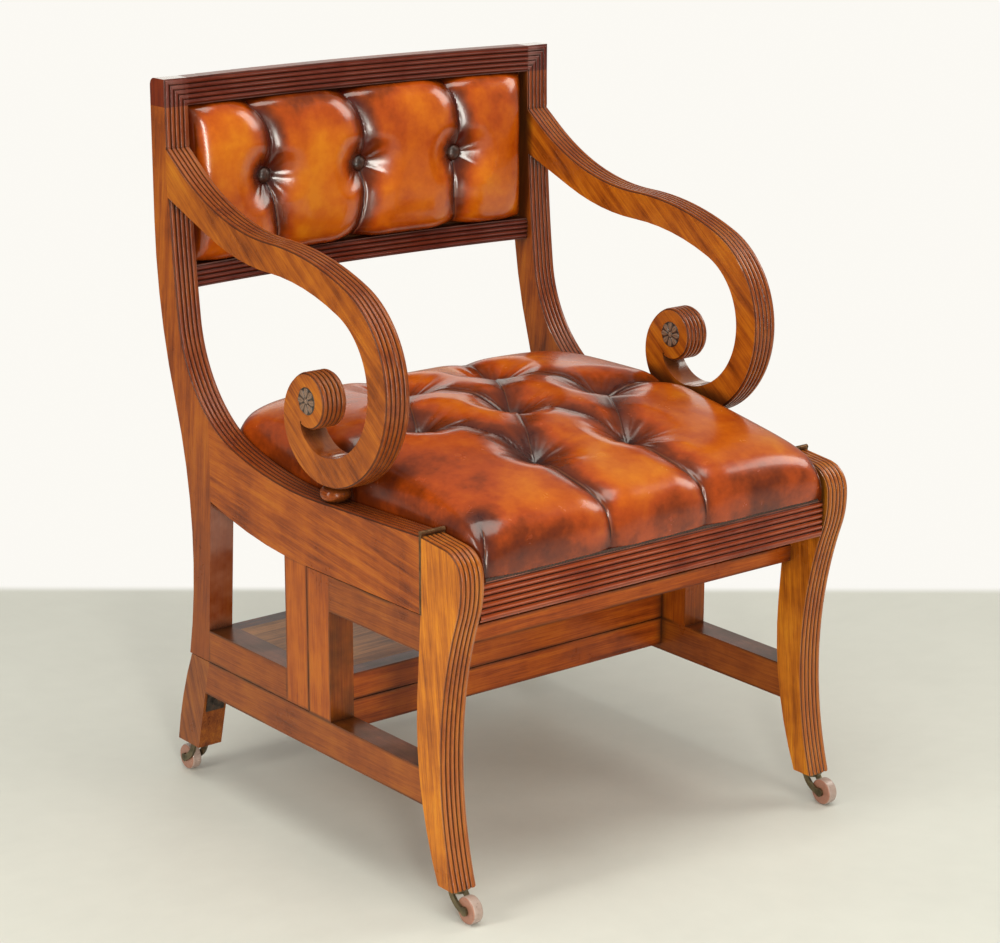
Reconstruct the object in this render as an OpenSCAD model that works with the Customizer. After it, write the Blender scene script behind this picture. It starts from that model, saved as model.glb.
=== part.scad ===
// Library armchair whose back half swings over on two hinges to make a set of four steps.
// X runs across the chair, Y from front to back and Z up. The origin is on the floor under its middle.
// Notes give places as u, the distance behind the hinge line, and v, the height above the floor.

/* [Overall] */
// Width over the two side frames
chair_w = 600; // [560:5:640]
// Height to the top of the crest rail
chair_h = 900; // [880:5:920]
// Thickness of the side frames
frame_t = 34; // [30:1:38]

/* [Split line] */
// Height of the lower split, where the shelf rests on the lower rails
low_split_v = 172; // [160:1:184]
// Height of the upper split, where the seat rests on the upper rails
high_split_v = 355; // [345:1:362]
// Distance of the upright split behind the hinge line
post_split_u = 225; // [210:1:240]
// Gap left at the split line
split_gap = 0.8; // [0.5:0.1:0.9]

/* [Hinge] */
// Radius of the hinge barrel
barrel_r = 3; // [2.6:0.1:3.4]
// Radius of the hinge pin
hinge_pin_r = 1.5; // [1.2:0.1:1.8]
// Running clearance of the hinge pin
hinge_pin_gap = 0.06; // [0.03:0.01:0.09]
// Thickness of a hinge leaf
leaf_t = 2; // [1.6:0.1:2.2]
// Gap between the two leaves when closed
leaf_gap = 0.4; // [0.3:0.1:0.6]
// Number of knuckles in a barrel
knuckles = 5; // [3:2:7]
// Gap between two knuckles
knuckle_gap = 0.4; // [0.3:0.1:0.6]
// Height of the hinge axis above the wood
hinge_rise = 2.4; // [2.2:0.1:2.8]
// Height of the crest above the floor when the chair is turned over
land_gap = 1; // [0.5:0.5:3]

/* [Reeding] */
// Reeds across a side frame
reed_count = 5; // [4:1:7]
// Flat edge beside the reeds
reed_edge = 1.5; // [1:0.5:2.5]
// Reed radius as a share of the reed spacing
reed_round_share = 0.56; // [0.53:0.01:0.6]
// Depth of the flat below the reed tops
quirk_depth = 2.3; // [2:0.1:2.8]
// Thickness of the reeded facing
facing_t = 8; // [7:1:10]
// Width of the joint line between two lengths of facing
joint_line = 0.02; // [0.02:0.01:0.05]
// Depth at which the body meets the facing
facing_sink = 4.5; // [4:0.5:5]

/* [Front leg] */
// Length of the leg's top from the hinge to the knee
leg_top_run = 44; // [38:1:46]
// Slope of the leg's top
leg_top_lean = 6; // [4:1:8]
// Radius of the knee
knee_r = 34; // [28:1:38]
// Angle of the knee
knee_turn = 79; // [74:1:82]
// Radius of the bend below the knee
shin_r = 115; // [100:5:130]
// Angle of the bend below the knee
shin_turn = 25; // [22:1:27]
// Radius of the leg's sabre curve
sabre_r = 514; // [490:2:560]
// Height of the front leg's foot
leg_foot_v = 37; // [36:1:42]
// Straight length at the back of the leg
leg_back_run = 100; // [90:5:110]
// Lean of that straight length
leg_back_lean = 4; // [2:1:5]
// Radius of the curve at the back of the leg
leg_back_r = 470; // [450:5:500]

/* [Rear leg and stile] */
// Back edge of the rear leg at the lower split
rear_back_u = 493; // [488:1:500]
// Front edge of the rear leg at the lower split
rear_front_u = 448; // [442:1:454]
// Lean of the rear leg's back edge at the lower split
rear_lean = 12.5; // [11:0.5:14]
// Radius of the hollow at the back of the rear leg
rear_hollow_r = 619; // [600:5:640]
// Angle of that hollow
rear_hollow_turn = 30.7; // [30:0.1:32]
// Radius of the swell at the back of the stile
stile_swell_r = 720; // [680:5:760]

/* [Side rail] */
// Length of the side rail from the hinge line to the stile
rail_len = 434; // [430:1:438]
// Straight length at the front of the rail's top edge
rail_flat = 205; // [195:1:215]
// Fall of the rail's top edge behind the hinge
rail_dip = 1.7; // [1:0.1:2.4]
// Radius of the rail's rise
rise_r = 552; // [530:2:580]
// Angle of the rail's rise
rise_turn = 18.2; // [17:0.1:19]
// Radius of the bend into the stile
bend_r = 166; // [155:1:175]
// Angle of the bend into the stile
bend_turn = 66.6; // [65:0.1:68]
// Height that the rail's lower edge gains at the rear
belly_rise = 31; // [24:1:36]

/* [Rear foot] */
// Back edge of the rear foot at its top
foot_back_u = 489; // [484:1:494]
// Lean of the foot's back edge at its top
foot_back_lean = 25; // [22:1:27]
// Radius of the foot's back edge
foot_back_r = 474; // [450:5:500]
// Lean of the foot's front edge
foot_front_lean = 14; // [12:1:15]
// Height of the bottom of the rear foot
foot_v = 46; // [43:1:48]

/* [Base frame] */
// Height of the lower rails
lower_rail_h = 45; // [40:1:50]
// Height of the upper rails
upper_rail_h = 44; // [40:1:50]
// Width of the step posts
post_w = 45; // [40:1:50]
// Distance of the rear stretcher behind the top of the rear foot's front edge
rear_stretcher_in = 12; // [11:1:14]
// Height of the stretchers
stretcher_h = 36; // [30:1:42]
// Thickness of the stretchers
stretcher_t = 25; // [20:1:30]
// Thickness of the treads
tread_t = 14; // [12:1:16]
// Height of the cross rail under the middle tread
cross_rail_h = 20; // [18:1:24]
// Width of the cross rail from front to back
cross_rail_w = 30; // [26:1:34]
// Distance that the cross rail stands ahead of the hinge line
cross_rail_out = 12; // [8:1:16]
// Room between the middle tread and the front seat rail that swings over it
sweep_room = 4; // [3:1:6]

/* [Seat frame] */
// Height of the seat frame
seat_frame_h = 46; // [40:1:48]
// Distance of the front seat rail's face ahead of the hinge line
front_rail_out = 66; // [62:1:68]
// Thickness of the front seat rail
front_rail_t = 26; // [22:1:30]
// Reeds on the front seat rail
front_reeds = 6; // [5:1:7]
// Room between the swinging seat and the legs on each side
side_room = 1; // [0.8:0.1:1.5]
// Width of the seat bearers
bearer_w = 22; // [18:1:26]
// Distance of the back seat rail's front face behind the hinge line
back_rail_u = 438; // [436:1:442]
// Thickness of the back seat rail
back_rail_t = 24; // [20:1:28]
// Depth of the rebate that holds the seat deck
deck_rebate = 8; // [6:1:10]
// Thickness of the seat deck
deck_t = 6; // [5:1:8]

/* [Shelf] */
// Height of the shelf's side rails
shelf_rail_h = 42; // [38:1:46]
// Width of the shelf posts
shelf_post_w = 46; // [42:1:50]
// Height of the shelf's front and back rails
shelf_front_h = 33; // [28:1:36]
// Thickness of the shelf's front and back rails
shelf_front_t = 24; // [20:1:28]
// Thickness of the shelf board
shelf_board_t = 12; // [10:1:14]

/* [Arms] */
// Distance of the ball under the arm behind the hinge line
ball_u = 187; // [185:1:192]
// Height of the ball under the arm
ball_h = 19; // [16:1:22]
// Radius of the ball under the arm
ball_r = 18.5; // [16:0.5:20]
// Radius of the necks above and below the ball
neck_r = 9; // [7:0.5:10]
// Length of a neck that shows between the ball and the wood
neck_show = 0.5; // [0.4:0.1:1]
// Depth to which a neck is let into the wood
neck_sink = 1; // [0.8:0.1:1.5]
// Radius of the spigots that hold the ball
spigot_r = 4; // [3:0.5:5]
// Length of a spigot
spigot_len = 10; // [8:1:12]
// Clearance round a spigot
spigot_gap = 0.05; // [0.03:0.01:0.09]
// Thickness of the arm in side view
arm_deep = 36; // [32:1:38]
// Radius of the arm's front loop
loop_r = 126; // [122:1:128]
// Angle of the arm's front loop
loop_turn = 158; // [154:1:160]
// Radius of the arm's shoulder
shoulder_r = 406; // [390:2:420]
// Radius of the arm's climb to the stile
climb_r = 328; // [310:2:340]
// Angle of the arm's climb to the stile
climb_turn = 36; // [32:1:38]
// Radius of the arm's lower edge below its climb
under_r = 370; // [350:5:400]
// Angle of that lower edge
under_turn = 21; // [18:1:23]
// Radius of the scroll behind the ball
scroll_r = 88; // [84:1:92]
// Angle of the scroll behind the ball
scroll_turn = 50; // [46:1:54]
// Radius of the scroll's return
return_r = 62; // [58:1:66]
// Angle of the scroll's return
return_turn = 105; // [100:1:110]
// Radius of the scroll's eye
eye_r = 34; // [32:1:36]
// Angle of reeding round the eye
eye_turn = 228; // [215:1:235]
// Radius of the rosettes on the scrolls
rosette_r = 16.5; // [14:0.5:18]
// Thickness of a rosette's disc
rosette_t = 1; // [0.8:0.1:1.5]
// Height of a rosette's petals above its disc
petal_h = 0.8; // [0.5:0.1:1]
// Petals of a rosette
petals = 8; // [6:1:12]

/* [Back] */
// How far the middle of the back bows behind its ends
back_bow = 18; // [10:1:24]
// Height of the lower back rail's underside
back_rail_v = 639; // [630:1:660]
// Height of the lower back rail
back_rail_h = 28; // [24:1:32]
// Depth of the lower back rail from front to back
back_rail_deep = 26; // [24:1:28]
// Reeds on the lower back rail
back_reeds = 4; // [3:1:5]
// Thickness of the panel behind the back pad
panel_t = 6; // [5:1:8]
// Radius of the crest rail's upper back corner
crest_round = 10; // [6:1:14]
// Distance of the panel behind the front of the stiles
panel_back = 20; // [18:1:22]

/* [Upholstery] */
// Height of the seat cushion's crown above the seat frame
seat_crown = 102; // [90:1:110]
// Room between the cushion and the side frames
cushion_room = 1.5; // [1.2:0.1:3]
// Depth of the seat cushion from front to back
seat_deep = 504; // [490:1:505]
// Depth of the seat's buttoned hollows
seat_tuft = 26; // [15:1:32]
// Spacing of the seat's hollows across the chair
seat_tuft_x = 144; // [130:1:150]
// Spacing of the seat's rows of hollows from front to back
seat_tuft_y = 135; // [125:1:145]
// Distance of the seat's first row of hollows from its front edge
seat_tuft_first = 135; // [125:1:145]
// Distance of the seat cushion's front edge ahead of the hinge line
seat_front_out = 67; // [66:1:70]
// Thickness of the back pad
pad_t = 38; // [34:1:40]
// Depth of the back pad's buttoned hollows
pad_tuft = 16; // [10:1:18]
// Spacing of the back pad's buttons
pad_tuft_x = 150; // [135:1:155]
// Radius of a back button
button_r = 8; // [6:0.5:10]
// Room under a back button
button_gap = 0.6; // [0.4:0.1:1.5]
// Width over which a hollow or pleat opens out
tuft_open = 30; // [24:1:36]
// Clearance that keeps the cushions off the wood
seat_gap = 0.3; // [0.2:0.1:0.5]

/* [Casters] */
// Radius of a caster wheel
wheel_r = 16.5; // [15:0.5:17]
// Width of a caster wheel
wheel_w = 14; // [12:1:16]
// Distance of a wheel's axle from its swivel
trail = 24; // [23:1:27]
// Radius of a caster's fixed plate
plate_r = 14; // [12:0.5:15]
// Thickness of a caster's fixed plate
plate_t = 2; // [1.5:0.1:2.5]
// Radius of a caster's stem
stem_r = 4; // [3.5:0.1:5]
// Length of a caster's stem in the wood
stem_len = 26; // [20:1:30]
// Thickness of the disc at the top of a fork
hub_t = 3; // [2.5:0.1:3.5]
// Radius of the disc at the top of a fork
hub_r = 11; // [10:0.5:12]
// Radius of the pivot that a fork turns on
pivot_r = 3; // [2.5:0.1:3.4]
// Thickness of a fork's cheek
cheek_t = 3; // [2.5:0.1:3.5]
// Gap between a wheel and a cheek
wheel_gap = 0.6; // [0.4:0.1:0.8]
// Radius of a wheel's axle
axle_r = 2.5; // [2:0.1:3]
// Running clearance of the axle and the swivel
caster_gap = 0.06; // [0.03:0.01:0.09]
// Gap under a caster's fixed plate
swivel_gap = 0.4; // [0.3:0.1:0.6]
// Radius of the rivet head under a fork
rivet_r = 5; // [4:0.5:6]
// Thickness of that rivet head
rivet_t = 1.5; // [1:0.1:2]
// Width of a fork's curved cheek
horn_w = 8; // [7:0.5:9]
// Angle of bend of a cheek
horn_turn = 60; // [50:5:70]

/* [Iron plate] */
// Width of the iron plate on one rear foot
iron_w = 26; // [22:1:30]
// Height of the iron plate
iron_h = 28; // [22:1:32]
// Distance of the iron plate below the lower split
iron_drop = 47; // [46:1:52]
// Thickness of the iron plate
iron_t = 1.5; // [1:0.1:2.5]
// Radius of the bolt head on the iron plate
bolt_r = 6; // [5:0.5:8]
// Height of that bolt head
bolt_h = 3; // [2:0.5:4]

/* [Hidden] */
$fn = 72;
// Steps of a full turn on a wide arc
arc_steps = 360;
// Degrees between two points of a curved outline
fine = 4;
// Overrun of every cut
over = 20;
// Gap that a swinging knuckle keeps from the opposite leaf
knuckle_room = 0.4;
// Shares of a rosette: length of a petal, its side's radius and overlap, and the heart
petal_share = 0.72;
petal_side_share = 0.85;
petal_wide_share = 0.22;
heart_share = 0.26;
// Rounding of a wheel's tread as a share of the wheel's width
wheel_edge_share = 0.2;
// Radius of a button's dome as a share of the button's radius
dome_share = 1.45;
// Power of the cushions' rounded outline, and the cells across and along them
puff_power = 5;
seat_cells = [34, 33];
pad_cells = [44, 24];
// Depth of a pleat as a share of a hollow's, and the share over which a hollow's floor is level
pleat_share = 0.45;
floor_share = 1.3;
// Width of a pleat as a share of the width of a hollow
pleat_wide_share = 0.5;

// Colours of the finishes
mahogany = [0.50, 0.24, 0.10];
dark_wood = [0.33, 0.13, 0.07];
light_wood = [0.62, 0.30, 0.11];
leather = [0.60, 0.20, 0.05];
button_brown = [0.16, 0.07, 0.04];
brass = [0.60, 0.50, 0.28];
iron = [0.22, 0.20, 0.18];
wheel_clay = [0.62, 0.38, 0.28];

left = -1;
right = 1;
half_w = chair_w / 2;
inner_w = half_w - frame_t;
frame_mid = half_w - frame_t / 2;

// Paths in a side frame: a place is [u, v, heading] and a step is [radius, angle].
// A positive radius bends to the left and a negative one to the right. [0, length] runs straight.
function step_end(at, step) =
    step[0] == 0
        ? [at[0] + step[1] * cos(at[2]), at[1] + step[1] * sin(at[2]), at[2]]
        : let (heading = at[2] + sign(step[0]) * step[1])
          [at[0] + step[0] * (sin(heading) - sin(at[2])),
           at[1] - step[0] * (cos(heading) - cos(at[2])),
           heading];
function place_after(at, steps, n) =
    n == 0 ? at : step_end(place_after(at, steps, n - 1), steps[n - 1]);
function path_end(at, steps) = place_after(at, steps, len(steps));
// Points of a path moved to its left by shift
function shifted(at, shift) = [at[0] - shift * sin(at[2]), at[1] + shift * cos(at[2])];
function path_points(at, steps, shift = 0) = [
    for (i = [0:len(steps) - 1])
        let (from = place_after(at, steps, i), parts = steps[i][0] == 0 ? 1 : ceil(steps[i][1] / fine))
        for (k = [0:parts - 1])
            shifted(step_end(from, [steps[i][0], steps[i][1] * k / parts]), shift),
    shifted(path_end(at, steps), shift)
];
function reversed(points) = [for (i = [len(points) - 1:-1:0]) points[i]];
function but_first(points) = [for (i = [1:len(points) - 1]) points[i]];
// Where a path that has a given heading crosses a height or a distance
function run_to_u(at, u) = (u - at[0]) / cos(at[2]);
function run_to_v(at, v) = (v - at[1]) / sin(at[2]);

// Carries a profile along a path. Its x is the height towards the face and its y lies across the frame.
// The face is on the path's left for 1 and on its right for -1. A fine joint line parts two lengths.
module carry(at, steps, face) {
    for (i = [0:len(steps) - 1]) {
        from = place_after(at, steps, i);
        bend = steps[i][0];
        turn = steps[i][1] - (bend == 0 ? joint_line : joint_line / abs(bend) * 180 / PI);
        if (bend == 0)
            translate([from[0], from[1], 0])
                rotate([0, 0, from[2]])
                    rotate([90, 0, 90])
                        linear_extrude(turn)
                            mirror([face < 0 ? 1 : 0, 0])
                                children();
        else
            translate([from[0] - bend * sin(from[2]), from[1] + bend * cos(from[2]), 0])
                rotate_extrude(angle = turn, start = bend > 0 ? from[2] - 90 : from[2] + 90 - turn, $fn = arc_steps)
                    translate([abs(bend), 0])
                        mirror([face * bend > 0 ? 1 : 0, 0])
                            children();
    }
}

// Reeded profile: the reed tops are at x = 0 and the wood goes down to -deep
module reeded(width, deep, count) {
    pitch = (width - 2 * reed_edge) / count;
    round_r = pitch * reed_round_share;
    translate([-deep, -width / 2])
        square([deep - quirk_depth, width]);
    intersection() {
        union() {
            for (i = [0:count - 1])
                translate([-round_r, (i - (count - 1) / 2) * pitch])
                    circle(round_r, $fn = 24);
        }
        translate([-deep / 2, -width / 2])
            square([deep, width]);
    }
}

// Puts a side frame's drawing in its place across the chair
module in_side(side) {
    translate([side * frame_mid, hinge_y, 0])
        rotate([90, 0, 90])
            children();
}

// Block in a side frame, between two distances and two heights
module block(u, v, t = frame_t) {
    translate([u[0], v[0], -t / 2])
        cube([u[1] - u[0], v[1] - v[0], t]);
}

// Bar across the chair, between two distances and two heights
module bar(u, v, half) {
    translate([-half, hinge_y + u[0], v[0]])
        cube([2 * half, u[1] - u[0], v[1] - v[0]]);
}

// Extruded outline of a side frame's piece
module plank(points, t = frame_t) {
    translate([0, 0, -t / 2])
        linear_extrude(t)
            polygon(points);
}

// Levels of the two halves
hinge_v = (chair_h + land_gap) / 2;
wood_v = hinge_v - hinge_rise;
shelf_v = low_split_v + split_gap;
seat_v = high_split_v + split_gap;
seat_top_v = seat_v + seat_frame_h;
shelf_u = post_split_u + split_gap;
rail_u = leaf_gap + leaf_t;
crest_h = frame_t;
strip_w = frame_t - 2 * joint_line;
stile_top_v = chair_h - crest_h;
sweep_r = norm([front_rail_out, hinge_v - seat_v]);
tread_v = hinge_v - sweep_r - sweep_room;
middle_tread_u = cross_rail_w / 2 - cross_rail_out;
rear_stretcher_u = rear_front_u + rear_stretcher_in;
shelf_top_v = shelf_v + shelf_front_h;

// Front leg: the reeded front runs from the hinge over the knee and down to the foot
leg_at = [0, wood_v, 180 + leg_top_lean];
knee_steps = [[0, leg_top_run], [knee_r, knee_turn], [shin_r, shin_turn]];
knee_end = path_end(leg_at, knee_steps);
sabre_turn = knee_end[2] - 360 + acos(cos(knee_end[2]) + (leg_foot_v - knee_end[1]) / sabre_r);
leg_steps = concat(knee_steps, [[-sabre_r, sabre_turn]]);
leg_foot_front_u = path_end(leg_at, leg_steps)[0];
calf_at = [0, high_split_v, leg_back_lean - 90];
calf_run_end = step_end(calf_at, [0, leg_back_run]);
calf_turn = acos(cos(calf_run_end[2]) + (leg_foot_v - calf_run_end[1]) / leg_back_r) + calf_run_end[2];
calf_steps = [[0, leg_back_run], [-leg_back_r, calf_turn]];
leg_foot_back_u = path_end(calf_at, calf_steps)[0];
leg_foot_u = (leg_foot_front_u + leg_foot_back_u) / 2;
leg_points = concat(
    path_points(leg_at, leg_steps, facing_sink),
    reversed(path_points(calf_at, calf_steps))
);

// Rear foot, splayed backwards below the lower split
foot_front_at = [rear_front_u, low_split_v, foot_front_lean - 90];
foot_front_run = run_to_v(foot_front_at, foot_v);
foot_front_end = step_end(foot_front_at, [0, foot_front_run]);
foot_back_at = [foot_back_u, low_split_v, foot_back_lean - 90];
foot_back_turn = acos(cos(foot_back_at[2]) + (foot_v - low_split_v) / foot_back_r) + foot_back_at[2];
foot_back_end = path_end(foot_back_at, [[-foot_back_r, foot_back_turn]]);
foot_u = (foot_front_end[0] + foot_back_end[0]) / 2;
foot_points = concat(
    path_points(foot_back_at, [[-foot_back_r, foot_back_turn]]),
    [[foot_front_end[0], foot_front_end[1]], [foot_front_at[0], foot_front_at[1]]]
);

// Rear leg, side rail and stile: the reeded edge runs from the hinge along the rail and up the stile
rail_at = [0, wood_v, -rail_dip];
rail_steps_low = [[0, rail_flat], [rise_r, rise_turn], [bend_r, bend_turn]];
bend_end = path_end(rail_at, rail_steps_low);
stile_r = (stile_top_v - bend_end[1]) / cos(bend_end[2]);
rail_steps = concat(rail_steps_low, [[stile_r, 90 - bend_end[2]]]);
stile_front_u = path_end(rail_at, rail_steps)[0];
rear_at = [rear_back_u, shelf_v, 90 + rear_lean];
rear_steps = [[-rear_hollow_r, rear_hollow_turn], [stile_swell_r, rear_hollow_turn - rear_lean]];
stile_back_u = path_end(rear_at, rear_steps)[0];
// The rail's lower edge leaves the level at the upright split and rises in one arc
belly_len = rail_len - shelf_u;
belly_turn = 2 * atan(belly_rise / belly_len);
belly_r = belly_len / sin(belly_turn);
belly_steps = [[belly_r, belly_turn]];
side_points = concat(
    path_points(rail_at, rail_steps, -facing_sink),
    [[stile_back_u, stile_top_v]],
    reversed(path_points(rear_at, rear_steps)),
    [[rear_front_u, shelf_v]],
    reversed(path_points([shelf_u, seat_v, 0], belly_steps)),
    [[0, seat_v]]
);
function rear_front_at(v) =
    rear_front_u + (rail_len - rear_front_u) * (v - shelf_v) / (seat_v + belly_rise - shelf_v);

// Arm: its scroll rests on the ball, and the loop runs forwards, up and back to the stile
ball_v = wood_v - ball_u * tan(rail_dip);
scroll_v = ball_v + ball_h;
arm_at = [ball_u, scroll_v, 180];
arm_steps_low = [[-loop_r, loop_turn], [-shoulder_r, 180 - loop_turn]];
arm_seat_u = stile_front_u + quirk_depth;
climb_steps = concat(arm_steps_low, [[climb_r, climb_turn]]);
climb_end = path_end(arm_at, climb_steps);
arm_steps = concat(climb_steps, [[0, run_to_u(climb_end, arm_seat_u + facing_t)]]);
under_at = concat(shifted(path_end(arm_at, arm_steps_low), -arm_deep), [0]);
under_end = step_end(under_at, [under_r, under_turn]);
under_steps = [[under_r, under_turn], [0, run_to_u(under_end, arm_seat_u + facing_t)]];
arm_points = concat(
    path_points(arm_at, arm_steps, -facing_sink),
    reversed(path_points(under_at, under_steps)),
    but_first(reversed(path_points(arm_at, arm_steps_low, -arm_deep)))
);
// Outline of the arm's end, which the stile is cut to
function end_at(from) = step_end(from, [0, run_to_u(from, arm_seat_u)]);
arm_end_points = [for (place = [climb_end, end_at(climb_end), end_at(under_end), under_end]) [place[0], place[1]]];
scroll_at = [ball_u, scroll_v, 0];
scroll_steps = [[scroll_r, scroll_turn], [return_r, return_turn]];
eye_at = path_end(scroll_at, scroll_steps);
eye_mid = shifted(eye_at, eye_r);

crest_deep = stile_back_u - stile_front_u;

// Casters
front_plate_v = leg_foot_v - plate_t;
rear_plate_v = foot_v - plate_t;
pivot_len = 2 * swivel_gap + hub_t;
cheek_w = wheel_w + 2 * (wheel_gap + cheek_t);

// The chair's middle, half way between the front wheels and the back of the crest rail
crest_back_u = stile_back_u + back_bow;
hinge_y = -(crest_back_u + leg_foot_u - trail - wheel_r) / 2;

// Bow of the back: its radius and the centre of its curve
bow_r = (inner_w * inner_w + back_bow * back_bow) / (2 * back_bow);
bow_centre_u = stile_front_u + back_bow - bow_r;
bow_angle = asin(inner_w / bow_r);

// Cushions
seat_half = inner_w - cushion_room;
pad_v = back_rail_v + back_rail_h;
pad_h = stile_top_v - pad_v;
pad_bend = bow_r + panel_back - seat_gap;

module front_leg(side) {
    color(mahogany)
        in_side(side)
            difference() {
                union() {
                    plank(leg_points);
                    carry(leg_at, leg_steps, -1)
                        reeded(strip_w, facing_t, reed_count);
                }
                block([-leaf_t, over], [high_split_v, wood_v + over], frame_t + over);
                block([-half_w, half_w], [-over, leg_foot_v], frame_t + over);
                stem_bore(leg_foot_u, leg_foot_v);
            }
}

module rear_foot(side) {
    color(dark_wood)
        in_side(side)
            difference() {
                plank(foot_points);
                stem_bore(foot_u, foot_v);
            }
}

// Hole for a caster's stem
module stem_bore(u, v) {
    translate([u, v, 0])
        rotate([-90, 0, 0])
            translate([0, 0, -over])
                cylinder(r = stem_r + spigot_gap, h = over + stem_len);
}

module lower_rail(side) {
    color(mahogany)
        in_side(side)
            translate([0, 0, -frame_t / 2])
                linear_extrude(frame_t)
                    difference() {
                        translate([leg_foot_back_u, low_split_v - lower_rail_h])
                            square([foot_back_u - leg_foot_back_u, lower_rail_h]);
                        polygon(leg_points);
                        polygon(foot_points);
                    }
}

module step_post(side) {
    color(mahogany)
        in_side(side)
            block([post_split_u - post_w, post_split_u], [low_split_v, high_split_v]);
}

module upper_rail(side) {
    color(mahogany)
        in_side(side)
            translate([0, 0, -frame_t / 2])
                linear_extrude(frame_t)
                    difference() {
                        translate([0, high_split_v - upper_rail_h])
                            square([post_split_u - post_w, upper_rail_h]);
                        polygon(leg_points);
                    }
}

module middle_stretcher() {
    color(dark_wood)
        bar([post_split_u, post_split_u + stretcher_t], [low_split_v - stretcher_h, low_split_v], inner_w);
}

module rear_stretcher() {
    color(dark_wood)
        bar([rear_stretcher_u, rear_stretcher_u + stretcher_t],
            [low_split_v - stretcher_h, low_split_v], inner_w);
}

module tread_front_rail() {
    color(dark_wood)
        difference() {
            bar([-cross_rail_out, cross_rail_w - cross_rail_out], [tread_v - cross_rail_h, tread_v], inner_w);
            bar([middle_tread_u, over + cross_rail_w], [tread_v - tread_t, tread_v + over], inner_w + over);
        }
}

module tread_back_rail() {
    color(dark_wood)
        bar([post_split_u - stretcher_t, post_split_u],
            [tread_v - tread_t - cross_rail_h, tread_v - tread_t], inner_w);
}

module lower_tread() {
    color(light_wood)
        bar([post_split_u + stretcher_t, rear_stretcher_u],
            [low_split_v - tread_t, low_split_v], inner_w);
}

module middle_tread() {
    color(light_wood)
        bar([middle_tread_u, post_split_u], [tread_v - tread_t, tread_v], inner_w);
}

// Half of a hinge: own says which knuckles it holds, and lies is the leaf's span behind the hinge line
module hinge_half(own, lies, foot) {
    knuckle_w = frame_t / knuckles;
    difference() {
        union() {
            block(lies, [foot, hinge_v]);
            for (i = [0:knuckles - 1])
                if (i % 2 == own)
                    knuckle(i, barrel_r, knuckle_w - knuckle_gap);
        }
        for (i = [0:knuckles - 1])
            if (i % 2 != own)
                knuckle(i, barrel_r + knuckle_room, knuckle_w + knuckle_gap);
        translate([0, hinge_v, 0])
            cylinder(r = hinge_pin_r + hinge_pin_gap, h = frame_t + over, center = true);
    }
}

module knuckle(i, r, w) {
    translate([0, hinge_v, (i - (knuckles - 1) / 2) * frame_t / knuckles])
        cylinder(r = r, h = w, center = true);
}

module fixed_hinge_leaves() {
    color(brass)
        for (side = [left, right])
            in_side(side)
                hinge_half(0, [-leaf_t, 0], high_split_v);
}

module moving_hinge_leaves() {
    color(brass)
        for (side = [left, right])
            in_side(side)
                hinge_half(1, [leaf_gap, rail_u], seat_v);
}

module hinge_pins() {
    color(brass)
        for (side = [left, right])
            in_side(side)
                translate([0, hinge_v, 0])
                    cylinder(r = hinge_pin_r, h = frame_t - knuckle_gap, center = true);
}

module side_frame() {
    plank(side_points);
    carry(rail_at, rail_steps, 1)
        reeded(strip_w, facing_t, reed_count);
}

module side_rail(side) {
    color(mahogany)
        in_side(side)
            difference() {
                side_frame();
                block([-over, rail_u], [0, chair_h], frame_t + over);
                block([rail_len, chair_h], [0, chair_h], frame_t + over);
                spigot_bore(ball_v, -1);
            }
}

module stile(side) {
    color(mahogany)
        in_side(side)
            difference() {
                side_frame();
                block([-over, rail_len], [0, chair_h], frame_t + over);
                plank(arm_end_points, frame_t + over);
            }
}

// Hole for a ball's spigot and neck, up into the arm for 1 or down into the rail for -1
module spigot_bore(v, way) {
    translate([ball_u, v, 0])
        rotate([-90 * way, 0, 0]) {
            translate([0, 0, -over])
                cylinder(r = spigot_r + spigot_gap, h = over + spigot_len);
            translate([0, 0, -over])
                cylinder(r = neck_r + spigot_gap, h = over + neck_sink);
        }
}

module shelf_post(side) {
    color(mahogany)
        in_side(side)
            translate([0, 0, -frame_t / 2])
                linear_extrude(frame_t)
                    intersection() {
                        translate([shelf_u, shelf_v])
                            square([shelf_post_w, seat_v + belly_rise - shelf_v]);
                        difference() {
                            square([rail_len, chair_h]);
                            polygon(side_points);
                        }
                    }
}

module shelf_rail(side) {
    top_v = shelf_v + shelf_rail_h;
    color(mahogany)
        in_side(side)
            plank([
                [shelf_u + shelf_post_w, shelf_v],
                [rear_front_at(shelf_v), shelf_v],
                [rear_front_at(top_v), top_v],
                [shelf_u + shelf_post_w, top_v]
            ]);
}

module shelf_front_rail() {
    color(light_wood)
        bar([shelf_u, shelf_u + shelf_front_t], [shelf_v, shelf_top_v], inner_w);
}

module shelf_back_rail() {
    color(mahogany)
        bar([rear_front_u, rear_front_u + shelf_front_t], [shelf_v, shelf_top_v], inner_w);
}

module shelf_board() {
    color(light_wood)
        bar([shelf_u + shelf_front_t, rear_front_u], [shelf_top_v - shelf_board_t, shelf_top_v], inner_w);
}

module top_tread() {
    color(light_wood)
        bar([shelf_u + shelf_front_t, rear_front_u], [shelf_v, shelf_v + tread_t], inner_w);
}

module front_seat_rail() {
    half = inner_w - side_room;
    color(dark_wood)
        translate([-half, hinge_y - front_rail_out, seat_v + seat_frame_h / 2])
            rotate([90, 0, 90])
                linear_extrude(2 * half)
                    mirror([1, 0])
                        reeded(seat_frame_h, front_rail_t, front_reeds);
}

module back_seat_rail() {
    color(mahogany)
        bar([back_rail_u, back_rail_u + back_rail_t], [seat_v, seat_top_v], inner_w);
}

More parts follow.
